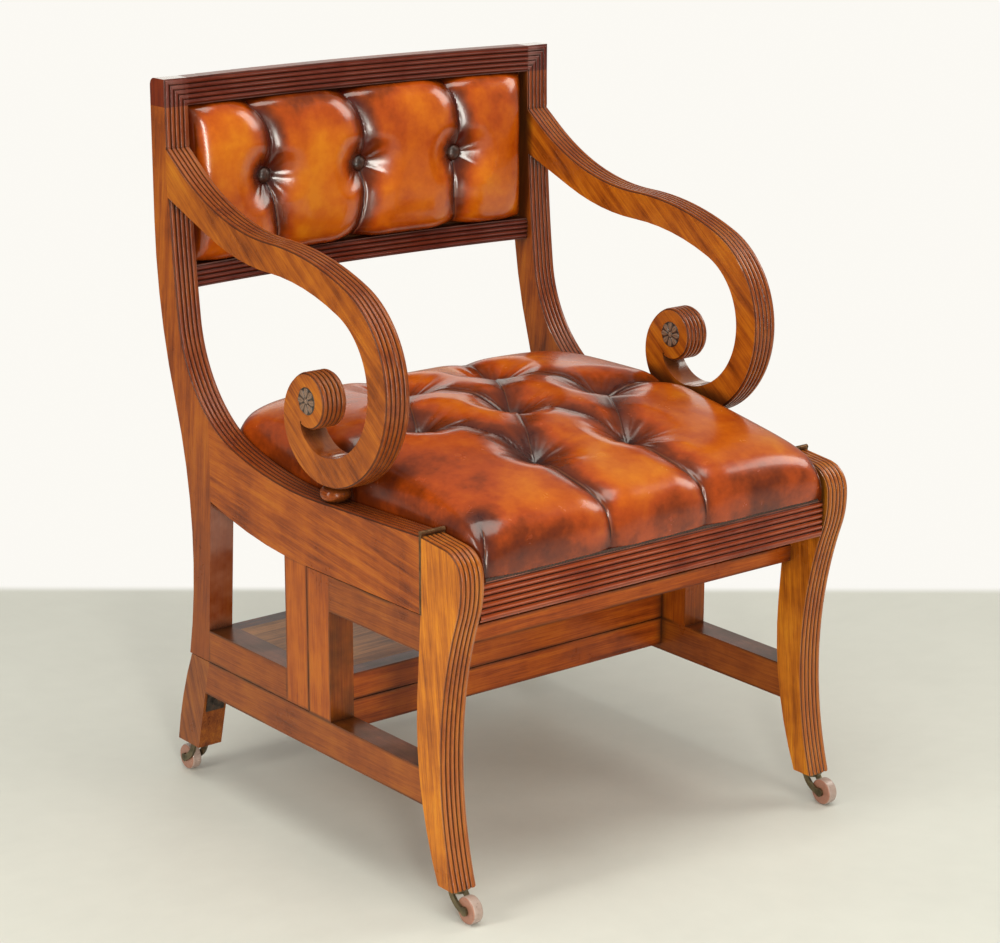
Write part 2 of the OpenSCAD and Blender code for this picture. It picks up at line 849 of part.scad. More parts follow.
module seat_bearers() {
    front_u = front_rail_t - front_rail_out;
    color(light_wood)
        for (side = [left, right])
            difference() {
                union() {
                    bearer(side, [front_u, back_rail_u], inner_w - side_room);
                    bearer(side, [rail_u, back_rail_u], inner_w);
                }
                bar([front_u - over, back_rail_u + over], [seat_top_v - deck_t, seat_top_v + over],
                    inner_w - bearer_w + deck_rebate);
            }
}

module bearer(side, u, outer) {
    w = outer - inner_w + bearer_w;
    translate([side > 0 ? outer - w : -outer, hinge_y + u[0], seat_v])
        cube([w, u[1] - u[0], seat_frame_h]);
}

module seat_tread() {
    color(light_wood)
        bar([front_rail_t - front_rail_out, back_rail_u], [seat_v, seat_v + tread_t], inner_w - bearer_w);
}

module seat_deck() {
    color(light_wood)
        bar([front_rail_t - front_rail_out, back_rail_u], [seat_top_v - deck_t, seat_top_v],
            inner_w - bearer_w + deck_rebate);
}

// Bends a section round the bow of the back: x is the distance behind the front and y the height
module bowed(half) {
    intersection() {
        translate([0, hinge_y + bow_centre_u, 0])
            rotate_extrude(angle = 4 * bow_angle, start = 90 - 2 * bow_angle, $fn = arc_steps)
                translate([bow_r, 0])
                    children();
        translate([-half, hinge_y + stile_front_u - over, 0])
            cube([2 * half, 2 * over + crest_back_u - stile_front_u, chair_h + over]);
    }
}

// Crest rail: a bowed and reeded rail between two corner blocks
module crest_rail() {
    color(dark_wood)
        bowed(inner_w)
            translate([0, stile_top_v])
                crest_section();
}

// Section of the crest rail: x is the distance behind its face and y the height above the stile
module crest_section() {
    intersection() {
        translate([0, crest_h / 2])
            mirror([1, 0])
                reeded(crest_h, crest_deep, reed_count);
        crest_outline();
    }
}

module crest_outline() {
    square([crest_deep - crest_round, crest_h]);
    square([crest_deep, crest_h - crest_round]);
    translate([crest_deep - crest_round, crest_h - crest_round])
        circle(crest_round);
}

// Corner block over a stile: the stile's reeds and the crest's reeds meet in it at a mitre
module crest_corner(side) {
    color(dark_wood)
        translate([side * frame_mid, hinge_y + stile_front_u, stile_top_v]) {
            intersection() {
                linear_extrude(crest_h)
                    rotate(-90)
                        reeded(frame_t, crest_deep, reed_count);
                across()
                    crest_outline();
                mitre(side, [[-1, 0], [1, 0], [1, 1]]);
            }
            intersection() {
                across()
                    crest_section();
                mitre(side, [[-1, 0], [1, 1], [-1, 1]]);
            }
        }
}

// Extrudes a section across the side frame's thickness
module across() {
    rotate([90, 0, 90])
        linear_extrude(frame_t, center = true)
            children();
}

// Prism over one side of the mitre. Its corners are shares of the block's half width and its height.
module mitre(side, corner_shares) {
    translate([0, crest_deep + over, 0])
        rotate([90, 0, 0])
            linear_extrude(crest_deep + 2 * over)
                polygon([for (c = corner_shares) [side * c[0] * frame_t / 2, c[1] * crest_h]]);
}

module lower_back_rail() {
    color(dark_wood)
        bowed(inner_w)
            translate([0, back_rail_v + back_rail_h / 2])
                mirror([1, 0])
                    reeded(back_rail_h, back_rail_deep, back_reeds);
}

module back_panel() {
    color(dark_wood)
        bowed(inner_w)
            translate([panel_back, pad_v])
                square([panel_t, pad_h]);
}

module arm(side) {
    color(mahogany)
        in_side(side)
            difference() {
                union() {
                    plank(arm_points);
                    carry(arm_at, arm_steps, 1)
                        reeded(strip_w, facing_t, reed_count);
                    carry(scroll_at, scroll_steps, -1)
                        reeded(frame_t, arm_deep, reed_count);
                    carry(eye_at, [[eye_r, eye_turn]], -1)
                        reeded(frame_t, eye_r, reed_count);
                    translate([eye_mid[0], eye_mid[1], 0])
                        cylinder(r = eye_r - facing_sink, h = frame_t, center = true);
                }
                block([arm_seat_u, chair_h], [0, chair_h], frame_t + over);
                spigot_bore(scroll_v, 1);
            }
}

module arm_balls() {
    color(light_wood)
        for (side = [left, right])
            in_side(side)
                translate([ball_u, ball_v, 0])
                    rotate([-90, 0, 0])
                        rotate_extrude()
                            ball_section();
}

// Half section of a ball with its necks and spigots: y is the height above the rail
module ball_section() {
    ball_round = ball_h / 2 - neck_show;
    translate([0, -spigot_len])
        square([spigot_r, ball_h + 2 * spigot_len]);
    translate([0, -neck_sink])
        square([neck_r, ball_h + 2 * neck_sink]);
    translate([0, neck_show])
        square([ball_r - ball_round, 2 * ball_round]);
    translate([ball_r - ball_round, ball_h / 2])
        intersection() {
            circle(ball_round);
            translate([0, -ball_round])
                square([ball_round, 2 * ball_round]);
        }
}

// Rosettes on both faces of each scroll
module arm_rosettes() {
    color(button_brown)
        for (side = [left, right])
            for (face = [left, right])
                in_side(side)
                    translate([eye_mid[0], eye_mid[1], 0])
                        rotate([0, face > 0 ? 0 : 180, 0])
                            translate([0, 0, frame_t / 2])
                                rosette();
}

module rosette() {
    petal_len = rosette_r * petal_share;
    petal_side_r = petal_len * petal_side_share;
    cylinder(r = rosette_r, h = rosette_t);
    cylinder(r = rosette_r * heart_share, h = rosette_t + petal_h);
    for (i = [0:petals - 1])
        rotate([0, 0, i * 360 / petals])
            translate([rosette_r - petal_len / 2, 0, 0])
                linear_extrude(rosette_t + petal_h)
                    intersection_for(s = [left, right])
                        translate([0, s * (petal_side_r - petal_len * petal_wide_share)])
                            circle(petal_side_r);
}

// Cushion: a rounded slab with hollows and pleats pressed into its face, on a bed that is flat
// or bent to a radius. cells are the counts of its grid, which is closer towards the edges.
function spread(i, n) =
    let (t = 2 * i / n - 1)
    (t + sin(90 * t)) / 2;
function puff(s) = pow(1 - pow(min(1, abs(s)), puff_power), 1 / puff_power);
function near(d, w) = exp(-d * d / (w * w));
function line_gap(p, a, b) =
    let (along = (p - a) * (b - a) / ((b - a) * (b - a)))
    norm(p - a - max(0, min(1, along)) * (b - a));
function pressed(p, hollows, pleats) = min(1,
    floor_share * max([for (h = hollows) near(norm(p - h), tuft_open)])
    + pleat_share * max([for (l = pleats) near(line_gap(p, l[0], l[1]), tuft_open * pleat_wide_share)]));
function bed(x, bend) = bend == 0 ? 0 : bend - sqrt(bend * bend - x * x);
function cushion_points(size, hollows, pleats, deep, bend, cells) = [
    for (j = [0:cells[1]])
        for (i = [0:cells[0]])
            let (s = spread(i, cells[0]), t = spread(j, cells[1]), x = s * size[0] / 2, y = t * size[1] / 2)
            [x, y, bed(x, bend) + puff(s) * puff(t) * (size[2] - deep * pressed([x, y], hollows, pleats))]
];

// Is a cell cut from its near left corner? Each quarter of the grid is cut away from the cushion's corner.
function slopes_up(k, cells) =
    (k % (cells[0] + 1) < cells[0] / 2) == (floor(k / (cells[0] + 1)) < cells[1] / 2);

module cushion(size, hollows, pleats, deep, bend, cells) {
    cols = cells[0];
    rows = cells[1];
    wide = cols + 1;
    last = rows * wide;
    inside = [for (j = [0:rows - 1]) for (i = [0:cols - 1]) j * wide + i];
    polyhedron(
        points = cushion_points(size, hollows, pleats, deep, bend, cells),
        faces = concat(
            [for (k = inside) slopes_up(k, cells) ? [k, k + wide + 1, k + 1] : [k, k + wide, k + 1]],
            [for (k = inside) slopes_up(k, cells) ? [k, k + wide, k + wide + 1] : [k + 1, k + wide, k + wide + 1]],
            [for (i = [1:cols - 2]) [i, i + 1, last + i + 1, last + i]],
            [concat([1, last + 1, last], [for (j = [rows - 1:-1:0]) j * wide])],
            [concat([cols - 1, cols], [for (j = [1:rows]) j * wide + cols], [last + cols - 1])]
        )
    );
}

module seat_cushion() {
    back_y = seat_deep / 2;
    odd_x = seat_tuft_x / 2;
    rows_y = [for (r = [0:2]) seat_tuft_first + r * seat_tuft_y - back_y];
    hollows = concat(
        [for (y = [rows_y[0], rows_y[2]]) for (x = [-odd_x, odd_x]) [x, y]],
        [for (x = [-seat_tuft_x, 0, seat_tuft_x]) [x, rows_y[1]]]
    );
    pleats = concat(
        [for (y = [rows_y[0], rows_y[2]]) for (x = [-odd_x, odd_x]) for (k = [-odd_x, odd_x])
            [[x, y], [x + k, rows_y[1]]]],
        [for (x = [-odd_x, odd_x]) [[x, rows_y[0]], [x, -back_y]]],
        [for (x = [-odd_x, odd_x]) [[x, rows_y[2]], [x, back_y]]],
        [for (s = [left, right]) [[s * seat_tuft_x, rows_y[1]], [s * seat_half, rows_y[1]]]]
    );
    color(leather)
        translate([0, hinge_y - seat_front_out + back_y, seat_top_v + seat_gap])
            cushion([2 * seat_half, seat_deep, seat_crown], hollows, pleats, seat_tuft, 0, seat_cells);
}

// Turns a pad's drawing upright in the back, bowed with the panel behind it
module on_panel() {
    translate([0, hinge_y + bow_centre_u + pad_bend, pad_v + pad_h / 2])
        rotate([90, 0, 0])
            children();
}

module back_pad() {
    xs = [-pad_tuft_x, 0, pad_tuft_x];
    color(leather)
        on_panel()
            cushion([2 * seat_half, pad_h - 2 * seat_gap, pad_t], [for (x = xs) [x, 0]],
                    [for (x = xs) [[x, -pad_h / 2], [x, pad_h / 2]]], pad_tuft, pad_bend, pad_cells);
}

module back_buttons() {
    color(button_brown)
        on_panel()
            for (x = [-pad_tuft_x, 0, pad_tuft_x])
                translate([x, 0, bed(x, pad_bend) + pad_t - pad_tuft + button_gap])
                    rotate_extrude()
                        intersection() {
                            translate([0, -button_r])
                                circle(button_r * dome_share);
                            square([button_r, button_r]);
                        }
}

module caster_plates() {
    color(brass)
        for (side = [left, right])
            for (at = [[leg_foot_u, front_plate_v], [foot_u, rear_plate_v]])
                in_side(side)
                    translate([at[0], at[1], 0])
                        rotate([-90, 0, 0]) {
                            cylinder(r = plate_r, h = plate_t);
                            cylinder(r = stem_r, h = plate_t + stem_len - spigot_gap);
                            translate([0, 0, -pivot_len])
                                cylinder(r = pivot_r, h = pivot_len + plate_t);
                            translate([0, 0, -pivot_len - rivet_t])
                                cylinder(r = rivet_r, h = rivet_t);
                        }
}

// Fork of a caster: a disc that turns on the pivot, with two curved cheeks that hold the axle.
// way is -1 where the wheel trails forwards and 1 where it trails backwards.
module caster_fork(side, u, plate_v, way) {
    hub_v = plate_v - swivel_gap - hub_t;
    color(brass)
        translate([side * frame_mid, hinge_y + u, 0])
            rotate([0, 0, 90 * way])
                rotate([90, 0, 0])
                    difference() {
                        union() {
                            upright(hub_v)
                                cylinder(r = hub_r, h = hub_t);
                            for (s = [left, right])
                                translate([0, 0, s * (cheek_w - cheek_t) / 2])
                                    cheek(hub_v + hub_t / 2);
                            translate([trail, wheel_r, 0])
                                cylinder(r = axle_r, h = cheek_w, center = true);
                        }
                        upright(hub_v)
                            cylinder(r = pivot_r + caster_gap, h = 3 * hub_t, center = true);
                    }
}

// Stands a piece of a fork upright over the swivel
module upright(v) {
    translate([0, v, 0])
        rotate([-90, 0, 0])
            children();
}

// Cheek of a fork: a horn that curves down from the disc to a round boss at the axle
module cheek(top_v) {
    drop = [trail, wheel_r - top_v];
    horn_at = [0, top_v, atan2(drop[1], drop[0]) - horn_turn / 2];
    horn_steps = [[norm(drop) / (2 * sin(horn_turn / 2)), horn_turn]];
    translate([0, 0, -cheek_t / 2])
        linear_extrude(cheek_t) {
            polygon(concat(
                path_points(horn_at, horn_steps, horn_w / 2),
                reversed(path_points(horn_at, horn_steps, -horn_w / 2))
            ));
            translate([trail, wheel_r])
                circle(axle_r + cheek_t);
        }
}

module caster_wheel(side, u, way) {
    color(wheel_clay)
        translate([side * frame_mid, hinge_y + u + way * trail, wheel_r])
            rotate([0, 90, 0])
                difference() {
                    rotate_extrude()
                        wheel_section();
                    cylinder(r = axle_r + caster_gap, h = wheel_w + over, center = true);
                }
}

// Half section of a wheel: a rounded tread and a raised boss on each side
module wheel_section() {
    edge = wheel_edge_share * wheel_w;
    translate([0, edge - wheel_w / 2])
        square([wheel_r, wheel_w - 2 * edge]);
    translate([0, -wheel_w / 2])
        square([wheel_r - edge, wheel_w]);
    for (s = [left, right])
        translate([wheel_r - edge, s * (wheel_w / 2 - edge)])
            circle(edge);
}

// Iron plate with a bolt on the front of the left rear foot, just under the lower rail
module foot_iron() {
    color(iron)
        in_side(left)
            translate([foot_front_at[0], foot_front_at[1], 0])
                rotate([0, 0, foot_front_lean])
                    translate([-iron_t, -iron_drop - iron_h, -iron_w / 2]) {
                        cube([iron_t, iron_h, iron_w]);
                        translate([-bolt_h, iron_h / 2, iron_w / 2])
                            rotate([0, 90, 0])
                                cylinder(r = bolt_r, h = bolt_h + iron_t / 2);
                    }
}

front_leg(left);  // front_leg_left
front_leg(right);  // front_leg_right
rear_foot(left);  // rear_foot_left
rear_foot(right);  // rear_foot_right
lower_rail(left);  // lower_rail_left
lower_rail(right);  // lower_rail_right
step_post(left);  // step_post_left
step_post(right);  // step_post_right
upper_rail(left);  // upper_rail_left
upper_rail(right);  // upper_rail_right
middle_stretcher();
rear_stretcher();
tread_front_rail();
tread_back_rail();
lower_tread();
middle_tread();
fixed_hinge_leaves();
hinge_pins();
caster_plates();
foot_iron();
stile(left);  // stile_left
stile(right);  // stile_right
side_rail(left);  // side_rail_left
side_rail(right);  // side_rail_right
shelf_post(left);  // shelf_post_left
shelf_post(right);  // shelf_post_right
shelf_rail(left);  // shelf_rail_left
shelf_rail(right);  // shelf_rail_right
shelf_front_rail();
shelf_back_rail();
shelf_board();
top_tread();
front_seat_rail();
back_seat_rail();
seat_bearers();
seat_tread();
seat_deck();
crest_rail();
crest_corner(left);  // crest_corner_left
crest_corner(right);  // crest_corner_right
lower_back_rail();
back_panel();
arm(left);  // arm_left
arm(right);  // arm_right
arm_balls();
arm_rosettes();
moving_hinge_leaves();
seat_cushion();
back_pad();
back_buttons();
caster_fork(left, leg_foot_u, front_plate_v, -1);  // caster_fork_front_left
caster_fork(right, leg_foot_u, front_plate_v, -1);  // caster_fork_front_right
caster_fork(left, foot_u, rear_plate_v, 1);  // caster_fork_rear_left
caster_fork(right, foot_u, rear_plate_v, 1);  // caster_fork_rear_right
caster_wheel(left, leg_foot_u, -1);  // caster_wheel_front_left
caster_wheel(right, leg_foot_u, -1);  // caster_wheel_front_right
caster_wheel(left, foot_u, 1);  // caster_wheel_rear_left
caster_wheel(right, foot_u, 1);  // caster_wheel_rear_right
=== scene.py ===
import math

import bmesh
import bpy
import numpy as np
from mathutils import Matrix, Vector


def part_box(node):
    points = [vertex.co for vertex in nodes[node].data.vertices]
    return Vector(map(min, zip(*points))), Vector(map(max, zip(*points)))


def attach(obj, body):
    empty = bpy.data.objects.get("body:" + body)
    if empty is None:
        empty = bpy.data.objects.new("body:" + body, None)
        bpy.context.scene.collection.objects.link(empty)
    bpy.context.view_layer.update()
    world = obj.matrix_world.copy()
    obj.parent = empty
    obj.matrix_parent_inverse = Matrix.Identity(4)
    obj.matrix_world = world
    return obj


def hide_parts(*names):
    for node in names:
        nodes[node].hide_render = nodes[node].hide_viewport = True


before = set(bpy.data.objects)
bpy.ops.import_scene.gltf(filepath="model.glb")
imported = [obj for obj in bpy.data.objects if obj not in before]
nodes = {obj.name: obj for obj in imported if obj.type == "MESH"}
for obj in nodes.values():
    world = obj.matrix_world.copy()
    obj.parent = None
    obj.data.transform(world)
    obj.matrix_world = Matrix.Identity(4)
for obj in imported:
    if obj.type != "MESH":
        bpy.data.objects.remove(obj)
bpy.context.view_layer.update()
mm = 0.001
print("frame loaded:", len(nodes), "nodes")


def span(name):  # lowest and highest corner of a CAD node in millimetres
    return [[round(value / mm, 3) for value in corner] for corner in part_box(name)]


def middle(name):
    low, high = span(name)
    return [(a + b) / 2 for a, b in zip(low, high)]


# Camera: the photograph's own angle, given by turn, rise and the focal length in pixels
view = {"turn": -38.4, "rise": 15.8, "roll": 0.1, "focal": 2676.5, "wide": 1000, "sensor": 36.0,
        "away": 3.2923, "aim": (0, -0.0491, 0.45), "aside": (0.0283, 0.0215), "clip": (0.05, 60)}


def towards(turn, rise):  # unit vector to a place at this turn and rise in degrees, seen from the chair
    turn, rise = math.radians(turn), math.radians(rise)
    return Vector((math.sin(turn) * math.cos(rise), -math.cos(turn) * math.cos(rise), math.sin(rise)))


def setCamera():
    turn, roll = math.radians(view["turn"]), math.radians(view["roll"])
    back = towards(view["turn"], view["rise"])
    right = Vector((math.cos(turn), math.sin(turn), 0))
    up = back.cross(right)
    right, up = right * math.cos(roll) + up * math.sin(roll), up * math.cos(roll) - right * math.sin(roll)
    data = bpy.data.cameras.new("photoView")
    data.sensor_fit = "HORIZONTAL"
    data.sensor_width = view["sensor"]
    data.lens = view["focal"] * view["sensor"] / view["wide"]
    data.clip_start, data.clip_end = view["clip"]
    camera = bpy.data.objects.new("photoView", data)
    bpy.context.scene.collection.objects.link(camera)
    camera.location = Vector(view["aim"]) + back * view["away"] - right * view["aside"][0] - up * view["aside"][1]
    camera.rotation_euler = Matrix((right, up, back)).transposed().to_euler()
    bpy.context.scene.camera = camera


setCamera()
print("camera set")


class Wire:  # an output of a node that adds, scales and compares with numbers and other outputs
    def __init__(self, paint, socket):
        self.paint, self.socket = paint, socket

    def maths(self, operation, *terms):
        return self.paint.node("ShaderNodeMath", {"operation": operation}, terms)

    def __add__(self, other):
        return self.maths("ADD", self, other)

    def __sub__(self, other):
        return self.maths("SUBTRACT", self, other)

    def __rsub__(self, other):
        return self.maths("SUBTRACT", other, self)

    def __mul__(self, other):
        return self.maths("MULTIPLY", self, other)

    def __abs__(self):
        return self.maths("ABSOLUTE", self)

    __radd__ = __add__
    __rmul__ = __mul__

    def sine(self):
        return self.maths("SINE", self)

    def least(self, other):
        return self.maths("MINIMUM", self, other)

    def step(self, low, high):  # 0 below low, 1 above high and smooth between
        return self.paint.node("ShaderNodeMapRange", {"interpolation_type": "SMOOTHSTEP"}, [self, low, high])


class Paint:  # the nodes of one material, or of the world
    def __init__(self, owner):
        self.owner = bpy.data.materials.new(owner) if isinstance(owner, str) else owner
        self.owner.use_nodes = True
        self.tree = self.owner.node_tree
        self.tree.nodes.clear()
        self.placed = None

    @property
    def place(self):  # the point in the piece's own space
        self.placed = self.placed or self.node("ShaderNodeTexCoord", out="Object")
        return self.placed

    def node(self, kind, settings=None, sockets=(), out=0):
        # makes a node, sets it up, then gives its sockets values or links; stops are a ramp's marks
        made = self.tree.nodes.new(kind)
        for key, value in (settings or {}).items():
            if key == "stops":
                marks = made.color_ramp.elements
                for share, colour in value[len(marks):]:
                    marks.new(share)
                for mark, (share, colour) in zip(marks, value):
                    mark.position, mark.color = share, (*colour, 1)
            else:
                setattr(made, key, value)
        for key, value in sockets.items() if isinstance(sockets, dict) else enumerate(sockets):
            if isinstance(value, Wire):
                self.tree.links.new(value.socket, made.inputs[key])
            elif value is not None:
                made.inputs[key].default_value = value
        return Wire(self, made.outputs[out]) if len(made.outputs) else made

    def along(self, direction, source=None):  # how far a vector reaches in a direction
        return self.node("ShaderNodeVectorMath", {"operation": "DOT_PRODUCT"},
                         [source or self.place, direction], "Value")

    def vector(self, *parts):
        return self.node("ShaderNodeCombineXYZ", None, parts)

    def noise(self, place, scale=1.0, detail=2.0, rough=0.5):
        return self.node("ShaderNodeTexNoise", None,
                         {"Vector": place, "Scale": scale, "Detail": detail, "Roughness": rough})

    def layer(self, label):
        return self.node("ShaderNodeAttribute", {"attribute_name": label}, out="Fac")

    def facing(self):  # the three parts of the surface's direction
        normal = self.node("ShaderNodeNewGeometry", out="Normal")
        return [self.along(axis, normal) for axis in ((1, 0, 0), (0, 1, 0), (0, 0, 1))]

    def blend(self, first, second, share):  # the Mix node's colours are its sockets 6 and 7, and its output 2
        first, second = (c if isinstance(c, Wire) else (*c, 1) for c in (first, second))
        return self.node("ShaderNodeMix", {"data_type": "RGBA"}, {0: share, 6: first, 7: second}, 2)

    def ramp(self, share, stops):
        return self.node("ShaderNodeValToRGB", {"stops": stops}, [share])

    def bump(self, height, strength, distance):
        return self.node("ShaderNodeBump", None, {"Strength": strength, "Distance": distance, "Height": height})

    def finish(self, sockets):
        self.node("ShaderNodeOutputMaterial", None, [self.node("ShaderNodeBsdfPrincipled", None, sockets)])
        return self.owner


def tint(colour, share):
    return tuple(min(1.0, channel * share) for channel in colour)


# Wood: ribbon figure, growth rings and open pores, drawn out along the grain, with painted shade in the corners,
# in the reeds' hollows and along straight pieces' edges, and a partly painted highlight on the reeds' crowns.
# scale is each pattern's waves per metre across the grain, weight its part in the tone, and drawn the waves
# along the grain for one across it. flat is how squarely a face looks sideways, from moulded to plain.
grain = {"scale": {"ribbon": 130, "streak": 620, "pores": 1500, "rings": 46, "cloud": 11}, "drawn": 0.03,
         "weight": {"ribbon": 0.85, "streak": 0.7, "rings": 0.12, "cloud": 0.95}, "level": 0.48, "wander": 3.2,
         "flat": (0.972, 0.985), "hollow": (0.45, 0.95), "crown": (0.0, 0.3), "foot": (0.2, 0.55),
         "paintedShade": (0.022, 0.008, 0.004), "corner": 0.02, "rim": (0.0004, 0.0042),
         "hollowShade": 0.85, "redder": 0.8, "cornerShade": 0.85, "rimShade": 0.75, "poreDark": 0.5}


def wood(name, tone, lean=None, reeds=None, gloss=0.3, figure=1.0, wearAndHighlight=0.35, ruddy=1.0, footDark=0.0,
         outline=None):
    # lean is the grain's slope in a side frame in degrees from level, and None is grain across the chair.
    # reeds says which way the reeds' hollows face: "side" or "up". outline names a straight piece and the two
    # ways across its face, to darken the face along its edges. ruddy turns the figure's dark parts red and its
    # light parts golden, and footDark darkens what is near the floor.
    paint = Paint(name)
    scale, weight, drawn = grain["scale"], grain["weight"], grain["drawn"]
    if lean is None:
        axes = (1, 0, 0), (0, 0, 1), (0, 1, 0)
    else:
        c, s = math.cos(math.radians(lean)), math.sin(math.radians(lean))
        axes = (0, c, s), (0, -s, c), (1, 0, 0)
    run, across, through = (paint.along(axis) for axis in axes)

    def drawnOut(waves, stretch, detail, rough):
        place = paint.vector(run * waves * stretch, across * waves, through * waves)
        return paint.noise(place, 1, detail, rough)

    cloud = paint.noise(paint.place, scale["cloud"], 4, 0.62)
    wander = paint.noise(paint.vector(run * 2.4, across * 9, through * 9), 1, 3)
    ribbon = drawnOut(scale["ribbon"], drawn * 1.8, 4, 0.62)
    streak = drawnOut(scale["streak"], drawn, 3, 0.6)
    pores = drawnOut(scale["pores"], drawn, 2, 0.6)
    turns = (across * scale["rings"] + through * 9 + wander * grain["wander"]) * math.tau
    rings = turns.sine() * 0.5 + 0.5
    figured = ((ribbon - 0.5) * weight["ribbon"] * figure + (streak - 0.5) * weight["streak"]
               + (rings - 0.5) * weight["rings"] * figure + (cloud - 0.5) * weight["cloud"] + grain["level"])
    red, green, blue = tone
    colour = paint.ramp(figured, [(0.1, (red * 0.24, green * (0.24 - 0.08 * ruddy), blue * 0.3)),
                                  (0.4, (red * 0.72, green * (0.72 - 0.1 * ruddy), blue * 0.8)),
                                  (0.58, tone), (0.9, (red * 1.3, green * (1.3 + 0.35 * ruddy), blue * 1.5))])
    if footDark:
        nearFloor = 1 - paint.along((0, 0, 1)).step(*grain["foot"])
        colour = paint.blend(colour, (red * 0.45, green * 0.38, blue * 0.6), nearFloor * footDark)
    pitted = pores.step(0.56, 0.74)
    colour = paint.blend(colour, tint(tone, 0.25), pitted * grain["poreDark"])
    rough = gloss + (cloud - 0.5) * 0.2 + pitted * 0.1
    coat = 0.1
    if reeds:
        nx, ny, nz = paint.facing()
        steep = abs(nx) if reeds == "side" else abs(nz)
        moulded = 1 - steep.step(*grain["flat"])
        hollow = steep.step(*grain["hollow"]) * moulded
        crown = (1 - steep.step(*grain["crown"])) * (0 - ny if reeds == "up" else 1 - abs(nx).step(0.3, 0.4))
        reddened = moulded * (cloud * 0.7 + 0.35)
        colour = paint.blend(colour, (red * 0.42, green * 0.26, blue), reddened * grain["redder"])
        # The reeds' crowns are lightened, partly for wear and partly as a painted highlight; on up reeds only
        # where they face forward.
        colour = paint.blend(colour, (red + 0.1, green + 0.12, blue + 0.12), crown * wearAndHighlight * cloud.step(0.35, 0.7))
        # Painted shade: the reeds' hollows are darkened.
        colour = paint.blend(colour, grain["paintedShade"], hollow * grain["hollowShade"])
        rough = rough + hollow * 0.15 - crown * 0.1
        coat = crown * 0.9 + 0.1
    # Painted shade: the occlusion darkens corners, joints and recesses towards the dark colour.
    shut = 1 - paint.node("ShaderNodeAmbientOcclusion", {"samples": 6}, {"Distance": grain["corner"]}, "AO")
    colour = paint.blend(colour, grain["paintedShade"], shut.step(0.06, 0.55) * (cloud * 0.7 + 0.6) * grain["cornerShade"])
    # Painted shade: a straight piece's face darkens along its edges, where it meets the next piece.
    if outline:
        node, ways = outline
        low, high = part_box(node)
        margins = []
        for way in ways:
            reach = paint.along([float(axis == way) for axis in range(3)])
            margins += [reach - low[way], high[way] - reach]
        margin = margins[0].least(margins[1]).least(margins[2]).least(margins[3])
        rim = 1 - margin.step(*grain["rim"])
        colour = paint.blend(colour, grain["paintedShade"], rim * cloud.step(0.3, 0.62) * grain["rimShade"])
    return paint.finish({"Base Color": colour, "Roughness": rough, "Specular IOR Level": 0.2, "Coat Weight": coat,
                         "Coat Roughness": 0.1, "Normal": paint.bump(pores * -0.6 + ribbon * 0.4, 0.2, 0.0006)})


def dress(material, *names):
    for name in names:
        for holder in nodes[name].material_slots:
            holder.material = material


sides = ("left", "right")


def both(*names):
    return [name + "_" + side for name in names for side in sides]


# Painted light: the front legs get a lighter, more orange tone than the rest of the mahogany, for the light on
# them.
tones = {"leg": (0.56, 0.172, 0.008), "rail": (0.36, 0.082, 0.005), "stile": (0.35, 0.082, 0.006),
         "low": (0.31, 0.078, 0.008), "post": (0.42, 0.098, 0.006), "arm": (0.41, 0.108, 0.006),
         "foot": (0.29, 0.084, 0.012), "front": (0.41, 0.070, 0.005), "crest": (0.175, 0.021, 0.002),
         "cross": (0.38, 0.078, 0.006), "tread": (0.62, 0.30, 0.12), "deck": (0.34, 0.18, 0.09),
         "panel": (0.30, 0.085, 0.014)}

dress(wood("legWood", tones["leg"], 84, "side"), *both("front_leg"))
dress(wood("railWood", tones["rail"], 8, "side"), *both("side_rail"))
dress(wood("stileWood", tones["stile"], 96, "side", footDark=0.6), *both("stile"))
dress(wood("armWood", tones["arm"], 38, "side"), *both("arm"))
dress(wood("footWood", tones["foot"], 72), *both("rear_foot"))
for piece, tone, lean in (("lower_rail", "low", 0), ("upper_rail", "low", 0), ("shelf_rail", "low", 0),
                          ("step_post", "post", 90), ("shelf_post", "post", 90)):
    dress(wood(piece + "Wood", tones[tone], lean, figure=0.55, footDark=0.15, outline=(piece + "_left", (1, 2))),
          *both(piece))
dress(wood("frontRailWood", tones["front"], None, "up", wearAndHighlight=0.6), "front_seat_rail")
dress(wood("crestWood", tones["crest"], None, "up", wearAndHighlight=0.5), "crest_rail", "lower_back_rail")
dress(wood("cornerWood", tones["crest"], 90, "side", wearAndHighlight=0.5), *both("crest_corner"))
for piece in ("middle_stretcher", "rear_stretcher", "tread_front_rail", "tread_back_rail", "shelf_front_rail",
              "shelf_back_rail", "back_seat_rail"):
    dress(wood(piece + "Wood", tones["cross"], outline=(piece, (0, 2))), piece)
dress(wood("bearerWood", tones["cross"]), "seat_bearers")
# Partly weathering and partly painted light: the treads' pale tone is raised so the shelf board in shade still
# reads pale.
dress(wood("treadWood", tones["tread"], gloss=0.45, figure=0.8, ruddy=0),
      "lower_tread", "middle_tread", "top_tread", "shelf_board", "seat_tread")
dress(wood("deckWood", tones["deck"], gloss=0.6, ruddy=0), "seat_deck")
dress(wood("panelWood", tones["panel"], figure=0.8, gloss=0.4), "back_panel")
dress(wood("ballWood", tones["post"], 0, figure=0.6), "arm_balls")
print("wood finished")


# Brass, dull and olive on the casters and the hinges
def brass(name, tone, gloss):
    paint = Paint(name)
    patch = paint.noise(paint.place, 90, 4, 0.6)
    speck = paint.noise(paint.place, 900, 2)
    colour = paint.ramp(patch, [(0.3, tint(tone, 0.45)), (0.52, tone), (0.75, tint(tone, 1.5))])
    colour = paint.blend(colour, (0.035, 0.026, 0.014), speck.step(0.6, 0.72) * 0.6)
    return paint.finish({"Base Color": colour, "Metallic": 0.9, "Roughness": gloss + (1 - patch) * 0.3,
                         "Normal": paint.bump(patch + speck * 0.3, 0.3, 0.0004)})


